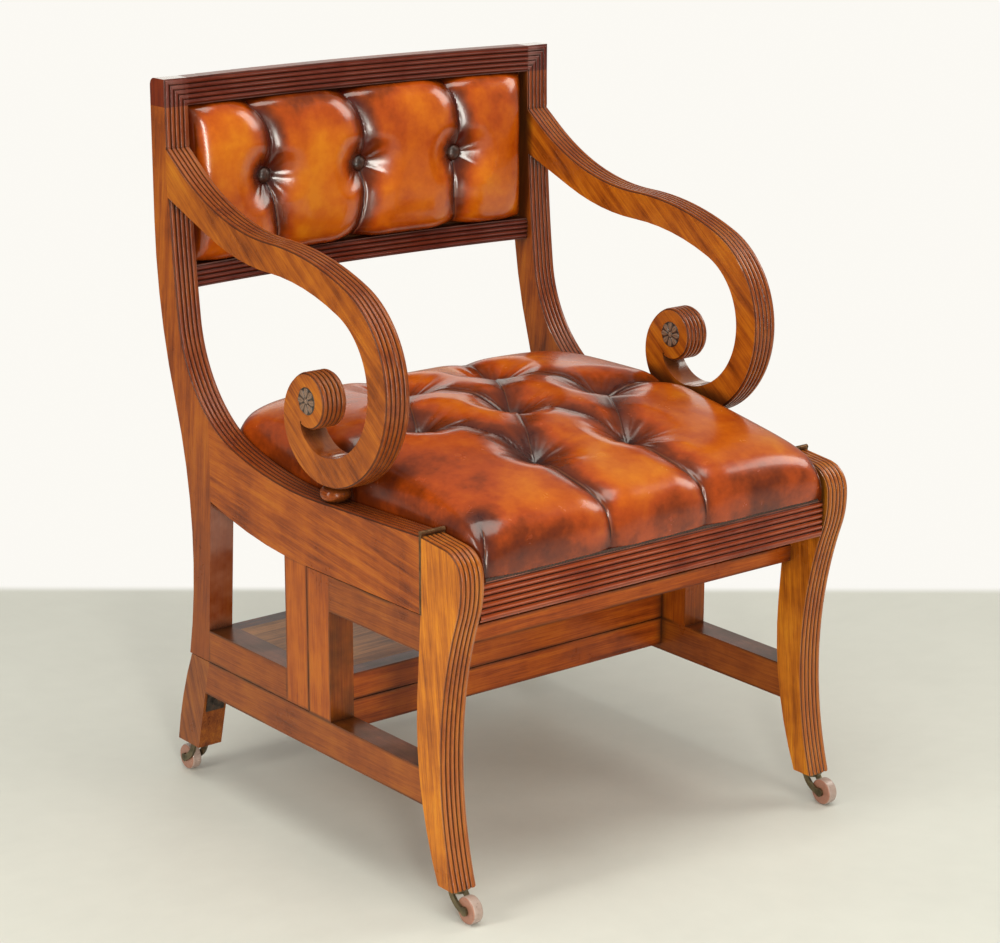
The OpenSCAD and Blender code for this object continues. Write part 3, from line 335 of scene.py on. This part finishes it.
def rollerFinish():  # fired clay, browner on its two faces than on the worn tread
    paint = Paint("rollerClay")
    faced = abs(paint.facing()[0])
    patch = paint.noise(paint.place, 160, 3)
    face = paint.blend((0.26, 0.10, 0.065), (0.42, 0.20, 0.13), patch)
    tread = paint.blend((0.30, 0.20, 0.16), (0.50, 0.38, 0.33), patch)
    colour = paint.blend(tread, face, faced.step(0.55, 0.8))
    colour = paint.blend(colour, (0.08, 0.045, 0.03), paint.noise(paint.place, 420, 2).step(0.6, 0.75) * 0.5)
    return paint.finish({"Base Color": colour, "Roughness": 0.42 - patch * 0.2, "Coat Weight": 0.3,
                         "Normal": paint.bump(patch, 0.2, 0.0006)})


def ironFinish():
    paint = Paint("rustyIron")
    patch = paint.noise(paint.place, 140, 4, 0.65)
    colour = paint.ramp(patch, [(0.35, (0.03, 0.024, 0.02)), (0.55, (0.075, 0.055, 0.042)),
                                (0.75, (0.17, 0.075, 0.035))])
    return paint.finish({"Base Color": colour, "Metallic": 0.6, "Roughness": 0.5 + (patch - 0.5) * 0.4,
                         "Normal": paint.bump(patch, 0.5, 0.0008)})


dress(brass("casterBrass", (0.17, 0.135, 0.075), 0.24), "caster_plates",
      *both("caster_fork_front", "caster_fork_rear"))
dress(brass("hingeBrass", (0.20, 0.10, 0.045), 0.3), "fixed_hinge_leaves", "moving_hinge_leaves", "hinge_pins")
dress(rollerFinish(), *both("caster_wheel_front", "caster_wheel_rear"))
dress(ironFinish(), "foot_iron")
print("metal finished")


# Meshes from grids of points
def weave(name, grids, wrap=False, closing=(), layers=None):
    # joins neighbours of each rows x columns x 3 grid, merges what meets and points the faces outwards;
    # closing holds further faces, and layers a number for each point under each label
    mesh = bpy.data.meshes.new(name)
    points, faces, base = [], [], 0
    for grid in grids:
        rows, cols = grid.shape[:2]
        index = base + np.arange(rows * cols).reshape(rows, cols)
        if wrap:
            index = np.concatenate([index, index[:, :1]], 1)
        faces.append(np.stack([index[:-1, :-1], index[:-1, 1:], index[1:, 1:], index[1:, :-1]], -1).reshape(-1, 4))
        points.append(grid.reshape(-1, 3))
        base += rows * cols
    mesh.from_pydata(np.concatenate(points), [], np.concatenate(faces).tolist() + list(closing))
    for label, values in (layers or {}).items():
        layer = mesh.attributes.new(label, "FLOAT", "POINT")
        layer.data.foreach_set("value", np.reshape(values, -1).astype(np.float32))
    shell = bmesh.new()
    shell.from_mesh(mesh)
    bmesh.ops.remove_doubles(shell, verts=shell.verts, dist=2e-6)
    bmesh.ops.dissolve_degenerate(shell, edges=shell.edges, dist=1e-7)
    bmesh.ops.recalc_face_normals(shell, faces=shell.faces)
    shell.to_mesh(mesh)
    shell.free()
    mesh.polygons.foreach_set("use_smooth", np.ones(len(mesh.polygons), bool))
    thing = bpy.data.objects.new(name, mesh)
    bpy.context.scene.collection.objects.link(thing)
    return thing


def settle(thing, body, slot, material, *stood):  # stood names the CAD nodes that it replaces
    thing.data.materials.append(material)
    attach(thing, body)
    if stood:
        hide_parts(*stood)
    return thing


# Hide: hand-dyed and orange where it is rubbed, with painted shade that darkens it nearly to black in the folds,
# the hollows and towards the rims, and a painted highlight on the lip beside each pleat. Its meshes carry four
# layers: high (1 on the rubbed crowns, falling off as painted shade towards pleats, hollows and rims), seam
# (millimetres from the nearest pleat, with a sign), close (1 on a pleat) and deepest (1 in a hollow).
dye = {"rubbedAndShaded": 0.74, "patch": 1.3, "small": 0.45, "brush": 0.12, "level": -0.05,
       "lip": (0.50, 0.20, 0.09), "lipHighlight": 0.16, "cells": 780.0, "coat": 0.22}


def hideFinish(name, tone, dark, sheen, shine):
    paint = Paint(name)
    high, seam, close, deepest = (paint.layer(label) for label in ("high", "seam", "close", "deepest"))
    patch = paint.noise(paint.place, 9, 4, 0.55)
    small = paint.noise(paint.place, 42, 3, 0.6)
    brush = paint.noise(paint.place, 190, 2, 0.6)
    # The dye's rubbed crowns, with painted shade towards pleats, hollows and rims, run from near black to orange.
    rubbedAndShaded = (high * dye["rubbedAndShaded"] + (patch - 0.5) * dye["patch"] + (small - 0.5) * dye["small"]
              + (brush - 0.5) * dye["brush"] + dye["level"])
    red, green, blue = tone
    colour = paint.ramp(rubbedAndShaded, [(0.04, dark), (0.3, tint(tone, 0.42)), (0.54, tone),
                                 (0.76, (red * 1.35, green * 1.9, blue)),
                                 (0.97, (red * 1.6, green * 3.1, blue * 1.5))])
    # Painted shade along each pleat.
    colour = paint.blend(colour, tint(dark, 1.2), close.step(0.2, 1.0) * 0.35)
    # Painted highlight: a pale line on the lip beside each pleat.
    lip = seam.step(0.9, 1.8) * (1 - seam.step(2.4, 3.6)) * close.step(0.4, 0.8)
    colour = paint.blend(colour, dye["lip"], lip * dye["lipHighlight"])
    fold = (1 - abs(seam).step(0.2, 1.1)) * close.step(0.25, 0.7)
    # Painted shade in each hollow, and nearly black in each pleat's crease.
    colour = paint.blend(colour, tint(dark, 0.35), deepest * 0.85)
    colour = paint.blend(colour, tint(dark, 0.12), fold * 0.95)
    cells = paint.node("ShaderNodeTexVoronoi", {"feature": "SMOOTH_F1"},
                       {"Vector": paint.place, "Scale": dye["cells"]})
    creases = paint.noise(paint.place, 120, 3, 0.65)
    return paint.finish({"Base Color": colour, "Roughness": sheen + (small - 0.5) * 0.14 + fold * 0.12,
                         "Specular IOR Level": shine, "Coat Weight": dye["coat"], "Coat Roughness": 0.1,
                         "Normal": paint.bump(cells * 0.5 + creases * 0.9, 0.14, 0.0007)})


# Cushions: a rounded slab, pressed in at its hollows and along its pleats. Lengths are in millimetres.
def bulgedRun(half, crown, power, count):
    # evenly spaced steps round half a superellipse |x/half|^power + |height/crown|^power = 1;
    # gives the distance from the middle and the share of the height
    fine = np.concatenate([np.linspace(0, 0.9, 400), 1 - 0.1 * (1 - np.linspace(0, 1, 1600)) ** 3])
    height = (1 - fine ** power) ** (1 / power)
    walked = np.concatenate([[0], np.cumsum(np.hypot(np.diff(fine * half), np.diff(height * crown)))])
    even = np.linspace(0, walked[-1], count)
    share, rise = np.interp(even, walked, fine), np.interp(even, walked, height)
    return np.concatenate([-share[::-1], share[1:]]), np.concatenate([rise[::-1], rise[1:]])


def slab(spec):
    # height = crown(x, y) * rise, where rise is the superellipse across times the one along; the flanks swell
    # halfway up and tuck in at the foot. Gives x, y, rise, the points and the directions out of the surface.
    s, riseX = bulgedRun(spec["half"][0], spec["thick"], spec["power"][0], spec["count"][0])
    count = spec["count"][1]
    ends = [bulgedRun(spec["half"][1], spec["thick"], power, count) for power in spec["power"][1:]]
    t, riseY = (np.concatenate([near[:count], far[count:]]) for near, far in zip(*ends))
    x, y = np.meshgrid(s * spec["half"][0], t * spec["half"][1])
    rise = riseY[:, None] * riseX[None, :]
    points = np.stack([x, y, rise * spec["crown"](x, y)], -1)
    across, down = np.gradient(points, axis=1), np.gradient(points, axis=0)
    normal = np.cross(across, down)
    normal /= np.maximum(np.linalg.norm(normal, axis=-1, keepdims=True), 1e-9)
    tuck = spec["tuck"] * np.clip(1 - rise / 0.32, 0, 1) ** 2
    swell = spec["swell"] * np.sin(np.clip(rise, 0, 1) * math.pi) ** 0.8
    points[..., :2] += normal[..., :2] * (swell - tuck)[..., None]
    return x, y, rise, points, normal


def nearPleats(x, y, pleats):
    # for each pleat (ax, ay, bx, by, deep at a, deep midway, deep at b, bow): the signed distance from its
    # bowed line, the plain distance, the depth at the nearest place on it, and the way to its side
    rows = np.array(pleats)[:, None, None, :]
    ax, ay, bx, by, deepA, deepMid, deepB, bow = (rows[..., i] for i in range(8))
    long = np.hypot(bx - ax, by - ay)
    ux, uy = (bx - ax) / long, (by - ay) / long
    share = ((x - ax) * ux + (y - ay) * uy) / long
    held = np.clip(share, 0, 1)
    arch = 4 * held * (1 - held)
    side = (x - ax) * -uy + (y - ay) * ux - bow * arch
    gap = np.hypot(side, (share - held) * long)
    deep = deepA + (deepB - deepA) * held - arch * ((deepA + deepB) / 2 - deepMid)
    return side, gap, deep, -uy, ux


def dip(gap, reach, circle):
    # 1 at the line and 0 at its reach: a share of it is a quarter circle, and the rest a parabola
    left = 1 - np.clip(gap / reach, 0, 1)
    return (1 - np.sqrt(1 - left ** 2)) * circle + left ** 2 * (1 - circle)


def bowl(gap, reach):  # 1 in the middle and 0 at its reach, steepest halfway
    return (1 - np.clip(gap / reach, 0, 1) ** 2) ** 2


def hollowed(x, y, spec):
    # how deep the hollows press in, how far each is, and the gathers: n-th hollow's
    # cos(11a + 1.7n) + 0.7 cos(17a - 2.3n) + 0.4 cos(7a + n) in a ring round it, at the angle a
    hx, hy, deep = (np.array(spec["hollows"])[:, i][:, None, None] for i in range(3))
    far = np.hypot(x - hx, y - hy)
    narrow = dip(np.maximum(far - spec["hollowFloor"], 0), spec["hollowReach"], spec["hollowCircle"])
    pit = deep * (bowl(far, spec["bowlReach"]) * spec["bowl"] + narrow * (1 - spec["bowl"]))
    angle = np.arctan2(y - hy, x - hx)
    n = np.arange(len(spec["hollows"]))[:, None, None]
    fan = np.cos(11 * angle + n * 1.7) + 0.7 * np.cos(17 * angle - n * 2.3) + 0.4 * np.cos(7 * angle + n)
    ring = np.exp(-((far - spec["gatherAt"]) / spec["gatherWide"]) ** 2)
    return pit, far, np.sum(spec["gather"] * fan * ring, axis=0)


def cushion(name, spec):
    # the slab's surface, moved in along its normal by (groove^3 + pit^3)^(1/3), with gathers that fan out from
    # each hollow and a lip that leans over each pleat; all of it fades towards the foot
    x, y, rise, flat, normal = slab(spec)
    side, gap, deep, wayX, wayY = nearPleats(x, y, spec["pleats"])
    groove = deep * dip(gap, spec["pleatReach"], spec["pleatCircle"])
    pit, far, gather = hollowed(x, y, spec)
    pressed = (np.max(groove, axis=0) ** 3 + np.max(pit, axis=0) ** 3) ** (1 / 3)
    held = 0.25 + 0.75 * np.clip(rise / 0.5, 0, 1)
    lip = np.where(side > 0, np.exp(-((side - spec["lipAt"]) / spec["lipWide"]) ** 2), 0) * np.clip(deep / 8, 0, 1)
    lip = lip * (gap <= np.abs(side) + 0.5)
    lean = np.stack([np.sum(-wayX * lip, 0), np.sum(-wayY * lip, 0)], -1) * spec["lipLean"]
    flat += normal * (-(pressed * held) + gather * held + np.max(lip, 0) * spec["lipRise"] * held)[..., None]
    flat[..., :2] += lean * np.clip(rise * 2, 0, 1)[..., None]
    foot = np.zeros(rise.shape, bool)
    foot[[0, -1], :] = foot[:, [0, -1]] = True
    flat[..., 2] = np.where(foot, 0, np.maximum(flat[..., 2], spec["least"]))
    nearest = np.argmin(gap, axis=0)[None]
    seam, fold = (np.take_along_axis(rows, nearest, 0)[0] for rows in (side, deep))
    # Painted shade: high falls towards pleats, hollows and rims and where pressed in, and deepest marks the
    # hollows to darken.
    nearGap = np.min(gap, axis=0)
    away = np.minimum(nearGap, np.min(far, axis=0) * 0.8) / spec["shadeReach"]
    rim = np.minimum(spec["half"][0] - np.abs(x), spec["half"][1] - np.abs(y)) / spec["shadeReach"]
    high = np.clip(np.minimum(away + 0.12, rim + 0.4), 0, 1) ** 0.7 * np.clip(1.1 - pressed / spec["shade"], 0, 1)
    close = np.exp(-(nearGap / 7.0) ** 2) * np.clip(fold / 6, 0, 1) * np.clip(rise * 3, 0, 1)
    layers = {"high": high, "seam": np.clip(seam, -9, 9), "close": close,
              "deepest": np.max(np.exp(-(far / spec["hollowDark"]) ** 2), axis=0)}
    return weave(name, [spec["place"](flat) * mm], closing=bed(*x.shape), layers=layers)


def bed(rows, cols):  # faces under a cushion, from its near rim to its far one
    index = np.arange(rows * cols).reshape(rows, cols)
    near, far = index[0, 1:-1], index[-1, 1:-1]
    strips = np.stack([near[:-1], far[:-1], far[1:], near[1:]], -1).tolist()
    return strips + [[near[0], *index[:, 0], far[0]], [near[-1], *index[:, -1], far[-1]]]


# Seat: seven hollows in three rows, joined by bowed pleats, with a fold at the near left corner. half is the
# drawing's half width and depth, power the superellipses' at the sides, the near and the far end; the bowl is
# the wide share of each hollow's depth, and a circle share sets how sharply a hollow or a pleat starts.
seatSpec = {"half": (264.0, 252.0), "thick": 104.0, "power": (9.0, 4.4, 9.0), "count": (130, 128),
            "tuck": 3.0, "swell": 1.5, "least": 0.4, "pleatReach": 42.0, "pleatCircle": 0.5,
            "hollowFloor": 2.0, "hollowReach": 60.0, "hollowCircle": 0.7, "bowl": 0.45, "bowlReach": 76.0,
            "gather": 0.6, "gatherAt": 30.0, "gatherWide": 22.0,
            "lipAt": 3.5, "lipWide": 3.0, "lipLean": 2.4, "lipRise": 1.0,
            "shade": 36.0, "shadeReach": 44.0, "hollowDark": 13.0}
seatTop = {"height": 121.0, "frontDrop": 33.0, "frontFrom": 60.0, "frontOver": 290.0, "sideDrop": 9.0,
           "backDrop": 7.0, "column": 72.0, "rows": (-112.0, 24.0, 158.0)}


def seatCrown(x, y):
    # the height, less a smooth step down over the front puffs and a fourth power to the sides and the back
    front = np.clip((seatTop["frontFrom"] - y) / seatTop["frontOver"], 0, 1)
    back = np.clip(y / seatSpec["half"][1], 0, 1)
    return (seatTop["height"] - seatTop["frontDrop"] * front * front * (3 - 2 * front)
            - seatTop["sideDrop"] * (x / seatSpec["half"][0]) ** 4 - seatTop["backDrop"] * back ** 4)


def seatPlan():  # hollows (x, y, depth), and pleats as nearPleats takes them
    c, (near, centre, far) = seatTop["column"], seatTop["rows"]
    hollows = [(-c, near, 32), (c, near, 32), (-2 * c, centre, 35), (0, centre, 37), (2 * c, centre, 35),
               (-c, far, 36), (c, far, 36)]
    diagonals = [(side * c, row, (side + way) * c, centre, 15, 7, 15, way * 4.0)
                 for row in (near, far) for side in (-1, 1) for way in (-1, 1)]
    return hollows, diagonals + [
        (-c, near, -74, -252, 17, 15, 11, -7), (c, near, 74, -252, 17, 15, 11, -7),
        (-c, far, -76, 252, 15, 8, 7, 3), (c, far, 76, 252, 15, 8, 7, -3),
        (-2 * c, centre, -264, 20, 16, 15, 15, 4), (2 * c, centre, 264, 20, 16, 15, 15, -4),
        (-246, -222, -258, -256, 1, 6, 12, 0), (252, -232, 262, -252, 1, 4, 7, 0),
        (-252, 232, -262, 252, 1, 4, 6, 0), (252, 232, 262, 252, 1, 4, 6, 0)]


def onSeat(flat):  # the drawing's middle lies half a depth behind the CAD cushion's front, on its underside
    low = span("seat_cushion")[0]
    return flat + np.array([0, low[1] + seatSpec["half"][1], low[2]])


seatSpec["hollows"], seatSpec["pleats"] = seatPlan()
seatSpec["crown"], seatSpec["place"] = seatCrown, onSeat
hide = hideFinish("seatHide", (0.36, 0.050, 0.003), (0.05, 0.007, 0.003), 0.25, 0.42)
seat = settle(cushion("seat_hide", seatSpec), "swing_half", "hide", hide, "seat_cushion")
print("seat cushion made:", len(seat.data.vertices), "points")

# Back pad: four upright rolls on the bowed panel, with three buttons between them
padSpec = {"half": (264.0, 98.6), "thick": 38.0, "power": (4.6, 3.4, 3.4), "count": (150, 60),
           "tuck": 0.0, "swell": 1.2, "least": 0.4, "pleatReach": 44.0, "pleatCircle": 0.15,
           "hollowFloor": 8.5, "hollowReach": 36.0, "hollowCircle": 0.7, "bowl": 0.7, "bowlReach": 58.0,
           "gather": 0.32, "gatherAt": 20.0, "gatherWide": 12.0,
           "lipAt": 3.0, "lipWide": 2.6, "lipLean": 1.0, "lipRise": 0.3,
           "shade": 32.0, "shadeReach": 28.0, "hollowDark": 19.0, "height": 42.0, "sideDrop": 3.0,
           "apart": 150.0, "edge": 98.0, "deep": 25.0, "bend": 1994.1, "face": 310.07}


def padCrown(x, y):
    return padSpec["height"] - padSpec["sideDrop"] * np.abs(x / padSpec["half"][0]) ** 4


def padPlan():  # below each button a pleat nearly straight down, above it one that leans left, and the two ends
    apart, edge = padSpec["apart"], padSpec["edge"]
    hollows = [(n * apart, 0, padSpec["deep"]) for n in (-1, 0, 1)]
    below = [(n * apart, 0, n * apart + lean, -edge, 14, 16, 11, bow)
             for n, lean, bow in ((-1, 18, 3), (0, -8, 6), (1, 2, -5))]
    above = [(n * apart, 0, n * apart + lean, edge, 14, 16, 11, bow)
             for n, lean, bow in ((-1, -20, -15), (0, -22, -12), (1, -12, -9))]
    return hollows, below + above + [(x, -edge, x, edge, 9, 13, 9, 0) for x in (-266, 266)]


def onPanel(flat):  # stands the drawing up and bends it to the panel's radius
    x, y, z = flat[..., 0], flat[..., 1], flat[..., 2]
    bend = padSpec["bend"]
    return np.stack([x, padSpec["face"] - (bend - np.sqrt(bend ** 2 - x ** 2)) - z, middle("back_pad")[2] + y], -1)


padSpec["hollows"], padSpec["pleats"] = padPlan()
padSpec["crown"], padSpec["place"] = padCrown, onPanel
padHide = hideFinish("backHide", (0.39, 0.058, 0.002), (0.07, 0.007, 0.003), 0.19, 0.5)
pad = settle(cushion("back_hide", padSpec), "swing_half", "hide", padHide, "back_pad")
print("back pad made:", len(pad.data.vertices), "points")

# Buttons: hide gathered under a dome
buttonSpec = {"radius": 10.0, "rise": 6.0, "base": -3.0, "neck": 0.8, "gathers": 14, "gather": 0.28,
              "rows": 18, "count": 84, "foot": 17.5}


def buttonFinish():
    paint = Paint("buttonHide")
    patch = paint.noise(paint.place, 160, 3)
    colour = paint.ramp(patch, [(0.3, (0.012, 0.005, 0.003)), (0.7, (0.06, 0.018, 0.008))])
    return paint.finish({"Base Color": colour, "Roughness": 0.3 + patch * 0.15, "Coat Weight": 0.4,
                         "Normal": paint.bump(paint.noise(paint.place, 700, 2), 0.3, 0.0005)})


def buttons():
    # a quarter circle (cos, sin) carried round, and lower by gather (cos(14a) + 1) s^2 (1 - s^8) at the share s
    radius, base = buttonSpec["radius"], buttonSpec["base"]
    turn = np.linspace(0, math.pi / 2, buttonSpec["rows"])
    dome = np.stack([np.cos(turn) * radius, np.sin(turn) * buttonSpec["rise"]], -1)
    profile = np.concatenate([[[0, base]], [[radius * buttonSpec["neck"], base]], dome[:-1], [[0, dome[-1, 1]]]])
    angle = np.linspace(0, math.tau, buttonSpec["count"], endpoint=False)
    out, height = profile[:, :1] * np.ones(len(angle)), profile[:, 1:] * np.ones(len(angle))
    s = np.clip(out / radius, 0, 1)
    height = height - buttonSpec["gather"] * (np.cos(buttonSpec["gathers"] * angle) + 1) * s ** 2 * (1 - s ** 8)
    shape = np.stack([out * np.cos(angle), out * np.sin(angle), height], -1)
    return [onPanel(shape + np.array([x, 0, buttonSpec["foot"]])) * mm for x, *_ in padSpec["hollows"]]


settle(weave("back_knobs", buttons(), wrap=True), "swing_half", "button", buttonFinish(), "back_buttons")
print("buttons made")

# Rosettes: a carved daisy on each face of both scrolls
rosetteSpec = {"radius": 16.5, "first": 0.4, "disc": 1.0, "petal": 0.8, "petals": 8, "heart": 4.2, "rim": 0.8,
               "vein": (0.35, 0.16), "rows": 34, "count": 192, "under": -0.4, "behindHinge": 218.75, "up": 558.21}


def rosetteFinish():
    paint = Paint("carvedWood")
    patch = paint.noise(paint.place, 260, 3)
    # Painted shade: the carving is near black where it lies low and lighter on the raised petals.
    colour = paint.ramp(paint.layer("high") + (patch - 0.5) * 0.3,
                        [(0.1, (0.020, 0.012, 0.008)), (0.5, (0.105, 0.055, 0.032)), (0.95, (0.25, 0.15, 0.095))])
    return paint.finish({"Base Color": colour, "Roughness": 0.5 - patch * 0.15, "Coat Weight": 0.2,
                         "Normal": paint.bump(patch, 0.3, 0.0005)})


def daisy():
    # height = disc + (lift - 0.45) petal / 0.6, where lift is sqrt(1 - (across / wide)^2) with a vein on a petal,
    # wide is sin(pi share)^0.35 along it, and the middle is a dome with six lobes
    edge, heart, (veinDeep, veinWide) = rosetteSpec["radius"], rosetteSpec["heart"], rosetteSpec["vein"]
    radius = np.concatenate([[0], np.linspace(rosetteSpec["first"], edge, rosetteSpec["rows"])])
    angle = np.linspace(0, math.tau, rosetteSpec["count"], endpoint=False)
    r, a = np.meshgrid(radius, angle, indexing="ij")
    across = (a * rosetteSpec["petals"] / math.tau + 0.5) % 1 * 2 - 1
    share = np.clip((r - heart) / (edge - rosetteSpec["rim"] - heart), 0, 1)
    wide = np.sin(np.clip(share, 0.02, 0.98) * math.pi) ** 0.35 * 0.96
    inside = np.sqrt(np.clip(1 - (across / np.maximum(wide, 0.05)) ** 2, 0, 1))
    petal = inside * (1 - veinDeep * np.exp(-(across / veinWide) ** 2)) * (share > 0) * (share < 1)
    dome = np.sqrt(np.clip(1 - (r / heart) ** 2, 0, 1)) * (0.85 + 0.15 * np.cos(6 * a) * (r > 1.2))
    lift = np.maximum(petal, dome * 1.1)
    z = rosetteSpec["disc"] + (lift - 0.45) * rosetteSpec["petal"] / 0.6
    face = np.stack([r * np.cos(a), r * np.sin(a), np.where(r >= edge - 0.01, 0.0, z)], -1)
    under = face[[-1, 0]].copy()
    under[..., 2] = rosetteSpec["under"]
    return np.concatenate([face, under])


def rosettes():
    whole = daisy()
    low, high = span("arm_right")
    centre, half = (low[0] + high[0]) / 2, (high[0] - low[0]) / 2
    eyeY, eyeZ = middle("hinge_pins")[1] + rosetteSpec["behindHinge"], rosetteSpec["up"]
    grids = [np.stack([side * centre + face * (half + whole[..., 2]), eyeY + whole[..., 0], eyeZ + whole[..., 1]],
                      -1) * mm for side in (-1, 1) for face in (-1, 1)]
    carved = np.clip((whole[..., 2] - 0.4) / 1.5, 0, 1)
    return weave("scroll_daisies", grids, wrap=True, layers={"high": [carved] * len(grids)})


settle(rosettes(), "swing_half", "carving", rosetteFinish(), "arm_rosettes")
print("rosettes made")

# Gimp: a braided cord tacked along the front edge under the hide
gimpSpec = {"half": 258.0, "radius": 1.9, "knots": (0.86, 0.28), "pitch": 5.0, "step": 1.0, "around": 8,
            "out": 2.6, "up": 1.6, "sway": (0.3, 9.0), "heave": (0.35, 23.0)}


def gimp():
    # radius = mean * (0.86 + 0.28 |sin(pi x / pitch)|), and the cord's middle sways by sines of x
    low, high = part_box("front_seat_rail")
    thin, thick = gimpSpec["knots"]
    x = np.arange(-gimpSpec["half"], gimpSpec["half"] + gimpSpec["step"], gimpSpec["step"])
    angle = np.linspace(0, math.tau, gimpSpec["around"], endpoint=False)
    radius = gimpSpec["radius"] * (thin + thick * np.abs(np.sin(math.pi * x / gimpSpec["pitch"])))
    radius[[0, -1]] = 0
    sway, heave = (far * np.sin(x / wave) for far, wave in (gimpSpec["sway"], gimpSpec["heave"]))
    y, z = low[1] / mm + gimpSpec["out"] + sway, high[2] / mm + gimpSpec["up"] + heave
    grid = np.stack([x[:, None] * np.ones(len(angle)), y[:, None] + radius[:, None] * np.cos(angle),
                     z[:, None] + radius[:, None] * np.sin(angle)], -1)
    return weave("front_gimp", [grid * mm], wrap=True)


def gimpFinish():
    paint = Paint("gimpCord")
    patch = paint.noise(paint.place, 700, 2)
    colour = paint.ramp(patch, [(0.35, (0.016, 0.008, 0.005)), (0.7, (0.085, 0.035, 0.018))])
    return paint.finish({"Base Color": colour, "Roughness": 0.62, "Normal": paint.bump(patch, 0.5, 0.0006)})


settle(gimp(), "swing_half", "hide", gimpFinish())
print("gimp made")

# Floor: pale grey near the chair, and to the camera as bright as a white room from a line behind it
floorSpec = {"reach": 9.0, "line": 0.818, "soft": (-0.01, 0.03), "grey": (0.72, 0.725, 0.67),
             "mottle": (0.88, 1.06), "white": (0.97, 0.95, 0.90)}


def makeFloor():
    reach, grey = floorSpec["reach"], floorSpec["grey"]
    mesh = bpy.data.meshes.new("floor")
    mesh.from_pydata([(x, y, 0) for y in (-reach, reach) for x in (-reach, reach)], [], [(0, 1, 3, 2)])
    floor = bpy.data.objects.new("floor", mesh)
    bpy.context.scene.collection.objects.link(floor)
    paint = Paint("paleFloor")
    turn = math.radians(view["turn"])
    line = floorSpec["line"] + math.cos(turn) * view["aim"][1]
    behind = paint.along((-math.sin(turn), math.cos(turn), 0)) - line
    patch = paint.noise(paint.place, 3.2, 5, 0.65)
    fine = paint.noise(paint.place, 26, 4, 0.7)
    dark, light = (tint(grey, share) for share in floorSpec["mottle"])
    seen = paint.node("ShaderNodeLightPath", out="Is Camera Ray")
    mottled = paint.blend(dark, light, patch * 0.7 + fine * 0.3)
    plain = paint.node("ShaderNodeBsdfPrincipled", None,
                       {"Base Color": mottled, "Roughness": 0.55, "Specular IOR Level": 0.3})
    white = paint.node("ShaderNodeEmission", None, [(*floorSpec["white"], 1), 1.0])
    mixed = paint.node("ShaderNodeMixShader", None, [behind.step(*floorSpec["soft"]) * seen, plain, white])
    paint.node("ShaderNodeOutputMaterial", None, [mixed])
    mesh.materials.append(paint.owner)


makeFloor()

# Light: a dim warm room and five soft boxes, with tall ones on the left and near the camera, a wide one
# overhead, one on the right, and a weak one behind for the sheen on what lies flat
lamps = {"left": {"turn": -92, "rise": 14, "away": 2.7, "wide": 0.45, "high": 1.8, "power": 28},
         "front": {"turn": -30, "rise": 4, "away": 3.0, "wide": 0.4, "high": 2.0, "power": 62},
         "above": {"turn": -34, "rise": 76, "away": 2.7, "wide": 2.2, "high": 1.6, "power": 54},
         "right": {"turn": 76, "rise": 30, "away": 3.0, "wide": 1.2, "high": 1.4, "power": 26},
         "behind": {"turn": 150, "rise": 15, "away": 3.4, "wide": 3.2, "high": 0.9, "power": 8}}
room = {"aim": (0, -0.05, 0.5), "lampTone": (1.0, 0.985, 0.90), "tone": (1, 0.97, 0.91), "strength": 0.28}


def makeLight():
    for name, lamp in lamps.items():
        back = towards(lamp["turn"], lamp["rise"])
        data = bpy.data.lights.new(name, "AREA")
        data.shape, data.size, data.size_y, data.energy = "RECTANGLE", lamp["wide"], lamp["high"], lamp["power"]
        data.color = room["lampTone"]
        light = bpy.data.objects.new(name, data)
        bpy.context.scene.collection.objects.link(light)
        light.location = Vector(room["aim"]) + back * lamp["away"]
        light.rotation_euler = back.to_track_quat("Z", "Y").to_euler()
    world = bpy.data.worlds.new("room")
    bpy.context.scene.world = world
    paint = Paint(world)
    seen = paint.node("ShaderNodeLightPath", out="Is Camera Ray")
    dim = paint.node("ShaderNodeBackground", None, [(*room["tone"], 1), room["strength"]])
    white = paint.node("ShaderNodeBackground", None, [(*floorSpec["white"], 1), 1.0])
    paint.node("ShaderNodeOutputWorld", None, [paint.node("ShaderNodeMixShader", None, [seen, dim, white])])
    bpy.context.scene.view_settings.view_transform = "Standard"


makeLight()
print("floor and light set")
